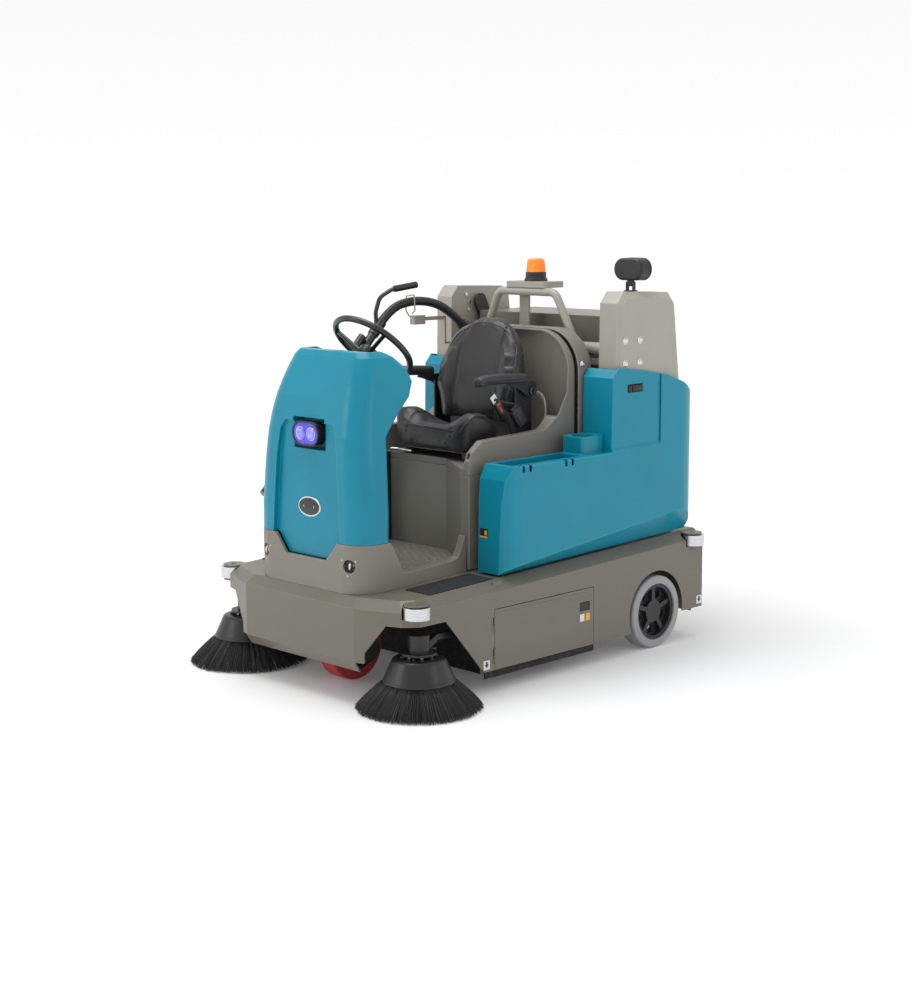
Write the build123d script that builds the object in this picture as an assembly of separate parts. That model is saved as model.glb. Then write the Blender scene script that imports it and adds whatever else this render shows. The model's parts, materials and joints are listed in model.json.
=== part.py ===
from build123d import *
import math
import os

# Ride-on sweeper. Millimetres. Origin on the floor under the middle of the machine,
# -Y is the front, +X is the operator's left, +Z is up.

# ---------------------------------------------------------------- driving dimensions
HALF_W = 556.0            # outer face of the side skirts
FRONT_Y = -847.0          # front face of the bumper
REAR_Y = 936.0            # rear end of the skirts
DECK_SLOPE = 0.0335       # the deck rises gently towards the rear
DECK_Z0 = 432.8           # deck height at y = 0
BEVEL_H = 34.0            # height of the bevel between skirt and deck
SKIRT_T = 4.0             # sheet thickness of the skirts
SKIRT_BOTTOM = 85.0
REAR_SKIRT_BOTTOM = 128.0

REAR_WHEEL = (514.0, 629.0, 152.5)
REAR_WHEEL_R = 152.5
REAR_WHEEL_W = 84.0
ARCH_R = 174.0
FRONT_WHEEL = (0.0, -586.0, 129.0)
FRONT_WHEEL_R = 129.0
FRONT_WHEEL_W = 90.0
STEER_AXIS_Y = -586.0

BRUSH_X = 511.0           # side brush centre
BRUSH_Y = -694.0
BRUSH_R = 242.0
BRUSH_ARM_PIVOT = (-300.0, 250.0)     # y, z
MAIN_BRUSH = (-55.0, 142.0)           # y, z of the main brush axis
MAIN_BRUSH_R = 140.0
MAIN_BRUSH_HALF = 392.0
MAIN_ARM_PIVOT = (235.0, 250.0)       # y, z

ROLLER_R = 50.0
ROLLER_H = 45.0
ROLLERS = {"front": (546.0, -734.0, 373.0), "rear": (545.0, 879.0, 426.0)}

DOOR_Y = (-341.0, 231.0)
DOOR_Z = (85.0, 323.0)
DOOR_PIN_X = 558.0
DOOR_GAP = 3.0

PAN_HALF_W = 315.0
CONSOLE_BOTTOM = 592.0
PEDAL_Y = -508.0         # pivot line of the pedals
FLOOR_T = 24.0            # floor pan thickness above the deck
HOOD_SEAM_Z = 800.0
HOOD_TOP = 828.0
COVER_X = 552.0           # outer face of the side covers
COVER_TRAY_Z = 853.0
COVER_TOP_Z = 1190.0
COVER_PIVOT_X = 502.0
COVER_LIFT = 9.0          # the covers stand this far above the deck

TOWER_X = (428.0, 518.0, 535.0)       # inner plate, bevel start, outer plate
LIFT_PIVOT = (560.0, 1420.0)          # y, z of the lift arm pivot
HOPPER_PIVOT = (800.0, 900.0)         # y, z of the hopper pivot
HOPPER_HALF = 395.0
HOPPER_REAR = 924.0
HOPPER_TOP = 1380.0
CROSS_TUBE = (483.0, 1250.0)          # y, z

WHEEL_HUB = (0.0, -445.0, 1301.0)     # steering wheel rim plane centre
WHEEL_TILT = 42.2                     # lean of the steering axis from vertical
WHEEL_RIM_R = 165.0
LAMP_Z = 989.0
HOSE_D = 38.0
RUN_FIT = 0.05            # radial clearance of running fits

PARTS = {}


# ---------------------------------------------------------------- small helpers
def deck_z(y):
    return DECK_Z0 + DECK_SLOPE * y


def block(x0, x1, y0, y1, z0, z1):
    centre = ((x0 + x1) / 2, (y0 + y1) / 2, (z0 + z1) / 2)
    return Pos(*centre) * Box(abs(x1 - x0), abs(y1 - y0), abs(z1 - z0))


def rod(start, end, radius):
    a = Vector(*start)
    b = Vector(*end)
    plane = Plane(origin=a, z_dir=b - a)
    return extrude(plane * Circle(radius), (b - a).length)


def tube(start, end, radius, bore):
    a = Vector(*start)
    b = Vector(*end)
    plane = Plane(origin=a, z_dir=b - a)
    return extrude(plane * (Circle(radius) - Circle(bore)), (b - a).length)


def cone(start, end, r0, r1):
    a = Vector(*start)
    b = Vector(*end)
    height = (b - a).length
    return Plane(origin=a, z_dir=b - a) * Cone(r0, r1, height, align=(Align.CENTER, Align.CENTER, Align.MIN))


def yz_plate(points, x0, x1):
    face = Plane.YZ.offset(x0) * Polygon(*points, align=None)
    return extrude(face, x1 - x0, dir=(1, 0, 0))


def xy_plate(points, z0, z1):
    face = Plane.XY.offset(z0) * Polygon(*points, align=None)
    return extrude(face, z1 - z0, dir=(0, 0, 1))


def xz_plate(points, y0, y1):
    face = Plane.XZ.offset(-y0) * Polygon(*points, align=None)
    return extrude(face, y1 - y0, dir=(0, 1, 0))


def mirrored(shape):
    return mirror(shape, about=Plane.YZ)


def both(shape):
    return shape + mirrored(shape)


def group(*solids):
    flat = []
    for item in solids:
        flat.extend(item.solids())
    return Compound(children=flat)


def sided(name, shape):
    PARTS[name + "_left"] = shape
    PARTS[name + "_right"] = mirrored(shape)


def soften(shape, radius, pick):
    edges = pick(shape.edges())
    try:
        return fillet(edges, radius)
    except Exception:
        print("fillet of", radius, "left out")
        return shape


def sweep_round(points, radii, radius):
    path = FilletPolyline(*points, radius=radii)
    start = path @ 0
    face = Plane(origin=start, z_dir=path % 0) * Circle(radius)
    return sweep(face, path=path)


# ---------------------------------------------------------------- chassis
def skirt_plan(inset):
    half = HALF_W - inset
    front = FRONT_Y + inset
    rear = REAR_Y - inset
    right = [(320 - inset * 0.2, front), (510 - inset * 0.8, -780 + inset), (half, -724 + inset * 0.5), (half, rear)]
    return right + [(-x, y) for x, y in reversed(right)]


def deck_plan(inset):
    half = 504.0 - inset
    right = [(300 - inset * 0.2, -812 + inset), (472 - inset * 0.8, -752 + inset), (half, -712 + inset * 0.5),
             (half, REAR_Y - inset)]
    return right + [(-x, y) for x, y in reversed(right)]


def tilted_face(points, drop):
    z0 = DECK_Z0 - drop
    corners = [Vector(x, y, z0 + DECK_SLOPE * y) for x, y in points]
    return Face(Wire.make_polygon(corners, close=True))


def skirt_body(inset, floor):
    """Closed body of the skirts and deck, with its walls moved in by inset."""
    crease = tilted_face(skirt_plan(inset), BEVEL_H + inset * 0.4)
    deck = tilted_face(deck_plan(inset), inset * 1.25)
    cap = Solid.make_loft([crease.outer_wire(), deck.outer_wire()], ruled=True)
    prism = xy_plate(skirt_plan(inset), floor, 600)
    corners = [(-1000, DECK_Z0 - BEVEL_H - inset * 0.4 - 1000 * DECK_SLOPE),
               (1000, DECK_Z0 - BEVEL_H - inset * 0.4 + 1000 * DECK_SLOPE), (1000, 700), (-1000, 700)]
    return prism - yz_plate(corners, -700, 700) + cap


def chassis():
    body = skirt_body(0, 98) - skirt_body(SKIRT_T, 0)
    # lower edge of the skirts, with the corner openings round the side brushes
    side_cut = [(-1000, 0), (-1000, 318), (-598, 318), (-399, SKIRT_BOTTOM), (520, SKIRT_BOTTOM),
                (520, 0)]
    corner_cut = [(362, 0), (362, 205), (448, 318), (700, 318), (700, 0)]
    side = yz_plate(side_cut, 362, 700) & xz_plate(corner_cut, -1000, 1000)
    body += both(block(HALF_W - SKIRT_T, HALF_W, -399, 800, SKIRT_BOTTOM, 110))
    body -= both(side)
    body -= both(block(500, 700, 700, 1000, 0, REAR_SKIRT_BOTTOM))
    body -= both(rod((462, REAR_WHEEL[1], REAR_WHEEL[2]), (700, REAR_WHEEL[1], REAR_WHEEL[2]), ARCH_R))
    # the front face tucks under along its lower edge
    body -= block(-405, 405, -1000, -600, 0, 166)
    body += yz_plate([(FRONT_Y, 166), (FRONT_Y + 26, 126), (FRONT_Y + 31, 129), (FRONT_Y + 5, 170)], -325, 325)
    # opening for the hopper, wheel boxes and rails
    body -= block(-405, 405, 500, 1000, 0, 700)
    wall = yz_plate([(400, 130), (REAR_Y, 130), (REAR_Y, deck_z(REAR_Y) - 2), (400, deck_z(400) - 2)], 405, 411)
    rail = block(410, 448, -560, REAR_Y - 20, 330, 392)
    body += both(wall + rail)
    body += block(-448, 448, -330, -290, 340, 392)
    body += block(-411, 411, 300, 340, 340, 392)
    body += block(-411, 411, 488, 500, 380, 425)
    body += xy_plate([(-448, -560), (448, -560), (200, -740), (-200, -740)], 372, 392)
    body += both(block(440, 552, 400, 420, 330, 392))
    # steering bearing
    body += rod((0, STEER_AXIS_Y, 345), (0, STEER_AXIS_Y, 424), 58)
    body -= rod((0, STEER_AXIS_Y, 300), (0, STEER_AXIS_Y, 500), 30 + RUN_FIT)
    # rear axle stubs
    x, y, z = REAR_WHEEL
    body += both(rod((408, y, z), (x + 20, y, z), 20))
    body += both(rod((408, y, z), (466, y, z), 34))
    # lugs for the side brush arms and the main brush arms
    ay, az = BRUSH_ARM_PIVOT
    lug = yz_plate([(ay - 22, 419), (ay - 22, az), (ay, az - 22), (ay + 22, az), (ay + 22, 419)], 0, 8)
    for lug_x in (452, 522):
        body += both(Pos(lug_x, 0, 0) * lug)
    body += both(rod((452, ay, az), (530, ay, az), 8))
    my, mz = MAIN_ARM_PIVOT
    body += both(block(418, 428, my - 25, my + 25, mz - 25, 340))
    body += both(rod((400, my, mz), (428, my, mz), 9))
    # corner roller brackets
    for x, y, z in ROLLERS.values():
        body -= both(rod((x, y, z - ROLLER_H / 2 - 3), (x, y, z + ROLLER_H / 2 + 3), ROLLER_R + 7))
        shelf = rod((x - 6, y, z - ROLLER_H / 2 - 9), (x - 6, y, z - ROLLER_H / 2 - 3), 44)
        roof = rod((x - 6, y, z + ROLLER_H / 2 + 3), (x - 6, y, z + ROLLER_H / 2 + 9), 44)
        pin = rod((x, y, z - ROLLER_H / 2 - 6), (x, y, z + ROLLER_H / 2 + 12), 9)
        body += both(shelf + roof + pin)
    # door openings and the fixed hinge knuckles
    y0, y1 = DOOR_Y
    z0, z1 = DOOR_Z
    body -= both(block(530, 600, y0, y1, 0, z1))
    for low in (110, 230):
        body += both(rod((DOOR_PIN_X, y0, low), (DOOR_PIN_X, y0, low + 30), 5))
        body -= both(block(548, 570, y0 - 7, y0, low + 30, low + 61))
    body += both(block(546, 553, y0 - 60, y0 - 8, 90, 330))
    body += both(block(546, 553, y1 + 1, y1 + 60, 90, 330))
    return body


def deck_mats():
    mat = xy_plate([(362, -622), (499, -622), (499, -290), (362, -290)], 0, 600)
    top = Plane(origin=(0, 0, DECK_Z0), x_dir=(1, 0, 0), z_dir=(0, -DECK_SLOPE, 1))
    slab = extrude(top.offset(0.3) * Rectangle(1200, 2000), 3.0)
    return both(mat & slab)


def rubber_skirts():
    side = both(block(535, 539, -378, 250, 52, 130))
    rear = block(-396, 396, 210, 214, 12, 300)
    front = block(-396, 396, -262, -258, 25, 335)
    hanger = both(block(531, 535, -378, 250, 100, 325))
    return group(side, rear, front, hanger)


# ---------------------------------------------------------------- floor pan and console
def rounded_plan(half, front, rear, corner, z, back_corner=None):
    back = corner if back_corner is None else back_corner
    with BuildSketch(Plane.XY.offset(z)) as sketch:
        with BuildLine():
            Polyline((-half, rear), (-half, front), (half, front), (half, rear), close=True)
        make_face()
        fillet(sketch.vertices().filter_by(lambda v: v.Y < front + 1), corner)
        fillet(sketch.vertices().filter_by(lambda v: v.Y > rear - 1), back)
    return sketch.sketch.faces()[0]


CONSOLE_LEVELS = [
    # z, half width, front, rear, front corner, rear corner
    (500, 318, -802, -654, 96, 22),
    (700, 315, -798, -646, 90, 22),
    (860, 300, -793, -636, 86, 24),
    (985, 284, -786, -624, 84, 26),
    (1060, 274, -772, -556, 82, 28),
    (1125, 264, -754, -484, 80, 30),
    (1180, 252, -733, -455, 78, 34),
    (1230, 238, -711, -470, 74, 40),
    (1275, 220, -690, -520, 66, 44),
    (1296, 196, -676, -556, 52, 46),
]


def console_split():
    """Space below the line where the console meets the moulded base."""
    low = xz_plate([(-400, 300), (400, 300), (400, CONSOLE_BOTTOM), (182, CONSOLE_BOTTOM), (118, 519),
                    (-118, 519), (-182, CONSOLE_BOTTOM), (-400, CONSOLE_BOTTOM)], -900, -700)
    return low + block(-400, 400, -700, -400, 300, CONSOLE_BOTTOM)


def console_blank(shrink):
    sections = []
    for z, half, front, rear, corner, back in CONSOLE_LEVELS:
        top = z - shrink * 0.9 if z > 1240 else z
        sections.append(rounded_plan(half - shrink, front + shrink, rear - shrink, corner - shrink,
                                     top, max(back - shrink, 8)))
    return loft(sections, ruled=True)


def console_recess(grow):
    """The recessed front panel and the lamp pocket in its upper part."""
    panel = [(-205, 470), (205, 470), (176, 900), (158, 1005), (135, 1032), (-135, 1032), (-158, 1005), (-176, 900)]
    panel = [(x + math.copysign(grow, x), z + (grow if z > 1000 else 0)) for x, z in panel]
    depth = yz_plate([(-900, 460), (-784 + grow, 460), (-768 + grow, 1050), (-900, 1050)], -300, 300)
    pocket = block(-92 - grow, 92 + grow, -800, -716 + grow, 928 - grow, 1048 + grow)
    return (xz_plate(panel, -900, -700) & depth) + pocket


def console_shell():
    shell = (console_blank(0) - console_recess(0)) - (console_blank(5) - console_recess(5))
    shell -= console_split()
    # opening for the dash in the top, sloping to the operator
    shell -= yz_plate([(-630, 1400), (-630, 1255), (-440, 1172), (-300, 1172), (-300, 1400)], -186, 186)
    shell -= block(-150, 150, -470, -440, 1100, 1176)
    return sorted(shell.solids(), key=lambda s: s.volume)[-1]


DASH_TILT = math.degrees(math.atan2(1255 - 1172, 190))


def dash_plane():
    lean = math.radians(DASH_TILT)
    return Plane(origin=(0, -535, 1214.5), x_dir=(1, 0, 0), z_dir=(0, math.sin(lean), math.cos(lean)))


def dash_panel():
    plane = dash_plane()
    plate = extrude(plane * RectangleRounded(364, 166, 24), 8)
    pod = extrude(plane.offset(8) * (Pos(0, 48) * RectangleRounded(150, 60, 14)), 16)
    boss = extrude(plane.offset(8) * (Pos(165, -4) * Circle(22)), 6)
    key_boss = extrude(plane.offset(8) * (Pos(-135, -20) * Circle(18)), 5)
    panel = plate + pod + boss + key_boss
    axis = steering_direction()
    hub = Vector(*WHEEL_HUB)
    panel -= rod(hub - axis * 300, hub, 36)
    panel -= extrude(plane.offset(-20) * (Pos(165, -4) * Circle(9)), 60)
    panel -= extrude(plane.offset(-20) * (Pos(-135, -20) * Circle(9)), 60)
    return panel


def stop_button():
    plane = dash_plane().offset(14)
    head = extrude(plane.offset(8) * (Pos(165, -4) * Circle(17)), 14)
    head = soften(head, 5, lambda e: e.filter_by(GeomType.CIRCLE).sort_by(SortBy.DISTANCE)[:0]
                  or e.filter_by(GeomType.CIRCLE).sort_by(Axis.Z)[-1:])
    stem = extrude(plane.offset(-30) * (Pos(165, -4) * Circle(9 - RUN_FIT)), 38)
    return head + stem


def key_switch():
    plane = dash_plane().offset(13)
    barrel = extrude(plane.offset(-24) * (Pos(-135, -20) * Circle(9 - RUN_FIT)), 32)
    blade = extrude(plane.offset(8) * (Pos(-135, -20) * RectangleRounded(26, 5, 2)), 24)
    return barrel + blade


def steering_direction():
    lean = math.radians(WHEEL_TILT)
    return Vector(0, math.sin(lean), math.cos(lean))


def steering_column():
    axis = steering_direction()
    hub = Vector(*WHEEL_HUB)
    top = hub - axis * 62
    bottom = hub - axis * 250
    sleeve = tube(bottom, top, 33, 14 + RUN_FIT)
    return group(sleeve, block(-46, 46, -684, -636, 1020, 1085) + block(-120, 120, -692, -684, 1000, 1100))


def steering_wheel():
    axis = steering_direction()
    hub = Vector(*WHEEL_HUB)
    plane = Plane(origin=hub, x_dir=(1, 0, 0), z_dir=axis)
    rim = plane * Torus(WHEEL_RIM_R, 12.5)
    drop = 34
    wheel = extrude(plane.offset(-drop - 22) * Circle(40), 28) + extrude(plane.offset(-drop) * Circle(33), 14)
    for angle in (90, 210, 330):
        c = math.cos(math.radians(angle))
        s = math.sin(math.radians(angle))
        reach = WHEEL_RIM_R - 13
        outer = plane.from_local_coords(Vector(c * reach, s * reach, -4))
        inner = plane.from_local_coords(Vector(c * 26, s * 26, -drop - 10))
        wheel += rod(inner, outer, 8.5)
    wheel += rod(hub - axis * 240, hub - axis * 50, 14)
    return group(rim, wheel)


def front_lamp_bits():
    """Lamp body, and its fixed bracket. The lamp tips on a cross pin."""
    lens_y = -790.0
    body = extrude(Plane.XZ.offset(-lens_y) * Pos(0, LAMP_Z) * SlotOverall(150, 90), 46, dir=(0, 1, 0))
    body = soften(body, 9, lambda e: e.filter_by(lambda k: abs(k.center().Y - lens_y - 46) < 0.5))
    bezel = extrude(Plane.XZ.offset(-lens_y) * Pos(0, LAMP_Z) * (SlotOverall(154, 94) - SlotOverall(140, 80)), 5,
                    dir=(0, -1, 0))
    return body + bezel


# ---------------------------------------------------------------- seat hood and shroud
def hood_outline():
    """Plan of the hood from its front wall round to the rear seam, near side first."""
    return [(48, -100), (290, -252), (333, -252), (345, 40), (358, 330), (-358, 330), (-345, 40), (-333, -252),
            (-290, -252), (-290, -100)]


def arch(half, top, corner, y0, y1, bottom):
    with BuildSketch(Plane.XZ.offset(-y0)) as sketch:
        with BuildLine():
            Polyline((-half, bottom), (half, bottom), (half, top), (-half, top), close=True)
        make_face()
        fillet(sketch.vertices().filter_by(lambda v: v.Y > bottom + 10), corner)
    return extrude(sketch.sketch, y1 - y0, dir=(0, 1, 0))


def hood_space(shrink):
    low_wall = [(x - math.copysign(shrink, x) if abs(x) > 200 else x, y + (shrink if y < 0 else 0))
                for x, y in hood_outline()]
    plan = xy_plate(low_wall, 300, 1500)
    rim = yz_plate([(-300, 0), (-300, 800), (-258, 830), (-240, 885), (-182, 930 - shrink), (155, 944 - shrink),
                    (238, 996), (290, 1086), (304, 1400), (334, 1400), (334, 0)], -400, 400)
    vault = arch(359 - shrink, 1334 - shrink, 172, -300, 330, 300)
    return plan & rim & vault


def seat_hood():
    hood = hood_space(0)
    base = tilt_cut(hood, 6)
    inner = hood_space(6)
    # bowl for the seat
    with BuildSketch(Plane.XY.offset(HOOD_TOP)) as bowl:
        with BuildLine():
            Polyline((-306, -400), (306, -400), (306, 282), (-306, 282), close=True)
        make_face()
        fillet(bowl.vertices().filter_by(lambda v: v.Y > 0), 120)
    seat_space = extrude(bowl.sketch, 700)
    with BuildSketch(Plane.XY.offset(HOOD_TOP - 6)) as lining:
        with BuildLine():
            Polyline((-312, -400), (312, -400), (312, 288), (-312, 288), close=True)
        make_face()
        fillet(lining.vertices().filter_by(lambda v: v.Y > 0), 124)
    seat_lining = extrude(lining.sketch, 700)
    cavity = inner - seat_lining - block(-400, 400, 326, 400, 300, 1500)
    shell = base - seat_space - cavity
    # seam between the lifting hood and its lower panel
    shell -= block(-400, 400, -400, 320, HOOD_SEAM_Z - 1.2, HOOD_SEAM_Z + 1.2) - hood_space(2.5)
    # pocket in the rim beside the seat
    shell -= rod((318, 168, 1010), (345, 168, 1010), 30)
    biggest = sorted(shell.solids(), key=lambda s: s.volume)[-1]
    return biggest


def tilt_cut(shape, clear):
    under = [(-1000, 0), (1000, 0), (1000, DECK_Z0 + clear + DECK_SLOPE * 1000),
             (-1000, DECK_Z0 + clear - DECK_SLOPE * 1000)]
    return shape - yz_plate(under, -800, 800)


def back_shroud():
    y0 = 331.0
    y1 = 408.0
    outer = arch(380, 1338, 172, y0, y1, deck_z(y1) + 4)
    inner = arch(375, 1333, 167, y0 - 5, y1 - 5, 0)
    shroud = outer - inner
    shroud -= block(-400, 400, y0 + 1, y1 + 5, 1008, 1011) & (arch(381, 1339, 172, y0, y1, 400)
                                                        - arch(378, 1336, 170, y0 - 5, y1 - 3, 0))
    return shroud


def floor_pan():
    lower = []
    for z, half, front, corner in ((380, 322, -812, 122), (460, 319, -808, 112), (520, 318, -804, 100),
                                   (600, 317, -801, 92)):
        lower.append(rounded_plan(half, front, -100, corner, z, 8))
    blank = loft(lower, ruled=True)
    # side profile: console pedestal, low sill for the step, raised heel under the hood wings
    keep = yz_plate([(-900, 300), (-900, CONSOLE_BOTTOM), (-652, CONSOLE_BOTTOM), (-640, 575), (-596, 482),
                     (-580, deck_z(-580) + 52), (-330, deck_z(-330) + 52), (-300, deck_z(-300) + 62),
                     (-280, 520), (-262, 566), (-257, 566), (-257, 300)], -400, 400)
    pan = blank & keep
    rear = yz_plate([(-300, deck_z(-300) - 10), (-104, deck_z(-104) - 10), (-104, deck_z(-104) + FLOOR_T),
                     (-300, deck_z(-300) + FLOOR_T)], -280, 280)
    pan += rear
    # foot well between the pedestal and the hood
    well = yz_plate([(-642, 700), (-634, 560), (-618, deck_z(-618) + 60), (-590, deck_z(-590) + FLOOR_T),
                     (-90, deck_z(-90) + FLOOR_T), (-90, 700)], -286, 286)
    pan -= well
    # hollow pedestal, open below
    pan -= loft([rounded_plan(306, -796, -662, 90, 300, 12), rounded_plan(302, -787, -664, 80, 650, 12)], ruled=True)
    pan -= yz_plate([(-662, 300), (-662, deck_z(-662) + 18), (-104, deck_z(-104) + 18), (-104, 300)], -300, 300)
    pan = tilt_cut(pan, 0.3)
    pan -= hood_space(-1.5)
    pan -= console_split_top()
    # tie-down recesses in the front corners
    for sign in (-1, 1):
        recess = rod((sign * 262, -830, 511), (sign * 228, -762, 511), 26)
        cup = rod((sign * 262, -830, 511), (sign * 225, -756, 511), 32)
        pan = pan + (cup & loft([rounded_plan(310, -800, -664, 92, 440, 12),
                                 rounded_plan(308, -796, -664, 88, 585, 12)], ruled=True)) - recess
    biggest = sorted(pan.solids(), key=lambda s: s.volume)[-1]
    return biggest


def console_split_top():
    high = xz_plate([(-400, 800), (400, 800), (400, CONSOLE_BOTTOM - 1.5), (183, CONSOLE_BOTTOM - 1.5),
                     (119, 517.5), (-119, 517.5), (-183, CONSOLE_BOTTOM - 1.5), (-400, CONSOLE_BOTTOM - 1.5)],
                    -900, -700)
    return high + block(-400, 400, -700, -652, CONSOLE_BOTTOM - 1.5, 800)


def fasteners():
    bits = []
    # tie-down eyes in the pedestal
    for sign in (-1, 1):
        eye = Pos(sign * 239, -779, 511) * Rot(0, 90, -sign * 25) * Torus(12, 3.5)
        bits.append(eye)
    # bolts on the outer plate of each tower
    for y in (438, 529):
        for z in (1203, 1294):
            bolt = rod((TOWER_X[2] + 0.1, y, z), (TOWER_X[2] + 7, y, z), 9.5)
            bits.append(both(bolt))
    for y, z in ((491, 1451), (511, 1417), (505, 1383)):
        bits.append(both(rod((TOWER_X[0] - 5, y, z), (TOWER_X[0] - 0.1, y, z), 8)))
    # shroud bolts
    for y, z in ((352, 1199), (376, 1132)):
        bits.append(both(rod((380.1, y, z), (386, y, z), 8)))
    return group(*bits)


def battery_pack():
    cells = []
    base = deck_z(300) + 6
    for ix in (-1, 0, 1):
        for iy in (0, 1):
            x = ix * 188
            y = 10 + iy * 200
            cell = block(x - 90, x + 90, y - 92, y + 92, base, base + 270)
            cell = chamfer(cell.edges().group_by(Axis.Z)[-1], 6)
            for px in (-50, 50):
                cell += rod((x + px, y - 60, base + 268), (x + px, y - 60, base + 284), 9)
            cells.append(cell)
    tray = block(-290, 290, -90, 310, deck_z(310) + 1, base - 0.5)
    return group(tray, *cells)


def vacuum_unit():
    fan = rod((0, 338, 1060), (0, 398, 1060), 115)
    fan += block(60, 115, 338, 398, 1060, 1200)
    fan -= rod((0, 330, 1060), (0, 345, 1060), 40)
    box = block(-250, 250, 338, 398, 520, 900)
    fins = [block(-236 + i * 40, -216 + i * 40, 336, 345, 540, 880) for i in range(12)]
    for fin in fins:
        box -= fin
    return group(fan, box)


# ---------------------------------------------------------------- side covers and towers
def ellipse_points(cx, cy, rx, ry, first, last, steps):
    angles = [math.radians(first + (last - first) * i / steps) for i in range(steps + 1)]
    return [(cx + rx * math.cos(a), cy + ry * math.sin(a)) for a in angles]


def cover_bottom(y):
    return deck_z(y) + COVER_LIFT


def cover_solid(t):
    """Body of a side cover; t moves every wall in, for the hollow inside."""
    front_arc = ellipse_points(478, -190, COVER_X - 4 - 478 - t, 72 - t, -90, 0, 5)
    rear_arc = ellipse_points(484, 786, COVER_X - 484 - t, 110 - t, 0, 90, 7)
    low_plan = [(388 + t, -262 + t)] + front_arc + [(COVER_X - t, 60)] + rear_arc + [(388 + t, 896 - t)]
    body = xy_plate(low_plan, 300, 1300)
    # side profile with the tray, the raised rear and the rounded back
    profile = [(-262 + t, 300), (-254 + t, 700), (-246 + t, 800 - t), (-216 + t, COVER_TRAY_Z - t),
               (346 + t, COVER_TRAY_Z - t), (352 + t, 1150), (386 + t, COVER_TOP_Z - t), (560, 1168 - t),
               (700, 1140 - t), (800, 1105 - t), (872 - t, 1060 - t), (888 - t, 1000), (897 - t, 700),
               (892 - t, 560), (850 - t, 300)]
    body = body & yz_plate(profile, 300, 700)
    # tuck-in below a crease that rises to the rear
    front = cover_bottom(-262) + 12
    rear = cover_bottom(896) + 118
    low = Solid.make_loft([
        Wire.make_polygon([Vector(497 - t, -300, 200), Vector(497 - t, -300, front - 12), Vector(COVER_X - t + 20, -300, front + 22),
                           Vector(700, -300, front + 40), Vector(700, -300, 200)], close=True),
        Wire.make_polygon([Vector(497 - t, 950, 200), Vector(497 - t, 950, cover_bottom(950)),
                           Vector(COVER_X - t + 20, 950, rear + 36), Vector(700, 950, rear + 60),
                           Vector(700, 950, 200)], close=True)], ruled=True)
    body -= low
    # the raised part stands in from the lower part, above a sloping shelf
    shelf = [(COVER_X - t - 7, 1300), (COVER_X - t - 7, COVER_TRAY_Z + 22), (COVER_X - t, COVER_TRAY_Z + 4),
             (700, COVER_TRAY_Z + 4), (700, 1300)]
    body -= xz_plate(shelf, 300, 650)
    under = [(-1000, 0), (1000, 0), (1000, cover_bottom(1000) + t), (-1000, cover_bottom(-1000) + t)]
    return body - yz_plate(under, 300, 800)


def side_cover():
    outer = cover_solid(0)
    outer = soften(outer, 7, lambda e: e.filter_by(
        lambda k: abs(k.center().Z - COVER_TRAY_Z) < 8 and -180 < k.center().Y < 300 and k.center().X > 530))
    shell = outer - cover_solid(5)
    # storage tray, cup holder, and the notch that clears the lift tower
    pocket = block(404, 512, -196, 196, 760, 900)
    lining = block(399, 517, -201, 201, 755, COVER_TRAY_Z - 2)
    shell = shell + (lining & cover_solid(0)) - pocket
    cup_block = block(394, 505, 214, 346, COVER_TRAY_Z - 8, 922)
    cup_block = soften(cup_block, 14, lambda e: e.filter_by(Axis.Z))
    shell += cup_block
    shell -= rod((450, 276, 800), (450, 276, 930), 44)
    shell += rod((450, 276, 795), (450, 276, 800), 48) + tube((450, 276, 800), (450, 276, 850), 48, 44)
    for y in (-178, -140, 60, 98):
        shell -= block(516, 560, y, y + 16, COVER_TRAY_Z - 26, 900)
    shell -= block(300, 538.5, 380, 816, 598, 1300)
    shell -= block(300, 492, 380, 830, 300, 1300)
    shell -= block(300, 474, 800, 1000, 300, 1300)
    # open inner side below the tray
    shell -= block(370, 396, -240, 880, 480, 740)
    # recess for the latch
    shell -= block(542.5, 560, 442, 540, 1084, 1120)
    biggest = sorted(shell.solids(), key=lambda s: s.volume)[-1]
    return biggest


def tower_outline(grow):
    return [(388 - grow, 600), (404 - grow, 1444), (443 - grow * 0.4, 1490 + grow), (722 + grow * 0.4, 1480 + grow),
            (762 + grow, 1438), (811 + grow, 1050), (811 + grow, 600)]


def tower():
    x_in, x_mid, x_out = TOWER_X
    main = yz_plate(tower_outline(0), x_in, x_mid)
    wire_a = Wire.make_polygon([Vector(x_mid, y, z) for y, z in tower_outline(0)], close=True)
    inner = [(404, 600), (421, 1436), (450, 1467), (713, 1458), (745, 1426), (790, 1050), (790, 600)]
    wire_b = Wire.make_polygon([Vector(x_out, y, z) for y, z in inner], close=True)
    cap = Solid.make_loft([wire_a, wire_b], ruled=True)
    body = main + cap
    hollow = yz_plate([(y * 0.984 + 9.2, z - 6) for y, z in tower_outline(0)], x_in + 4, x_mid - 4)
    body -= hollow
    y, z = LIFT_PIVOT
    body -= rod((400, y, z), (470, y, z), 20 + RUN_FIT)
    body += tube((x_in, y, z), (x_in + 34, y, z), 32, 20 + RUN_FIT)
    # post down to the deck, inside the side cover
    body += yz_plate([(470, deck_z(470)), (780, deck_z(780)), (780, 612), (470, 612)], x_in + 4, x_in + 44)
    return body


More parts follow.
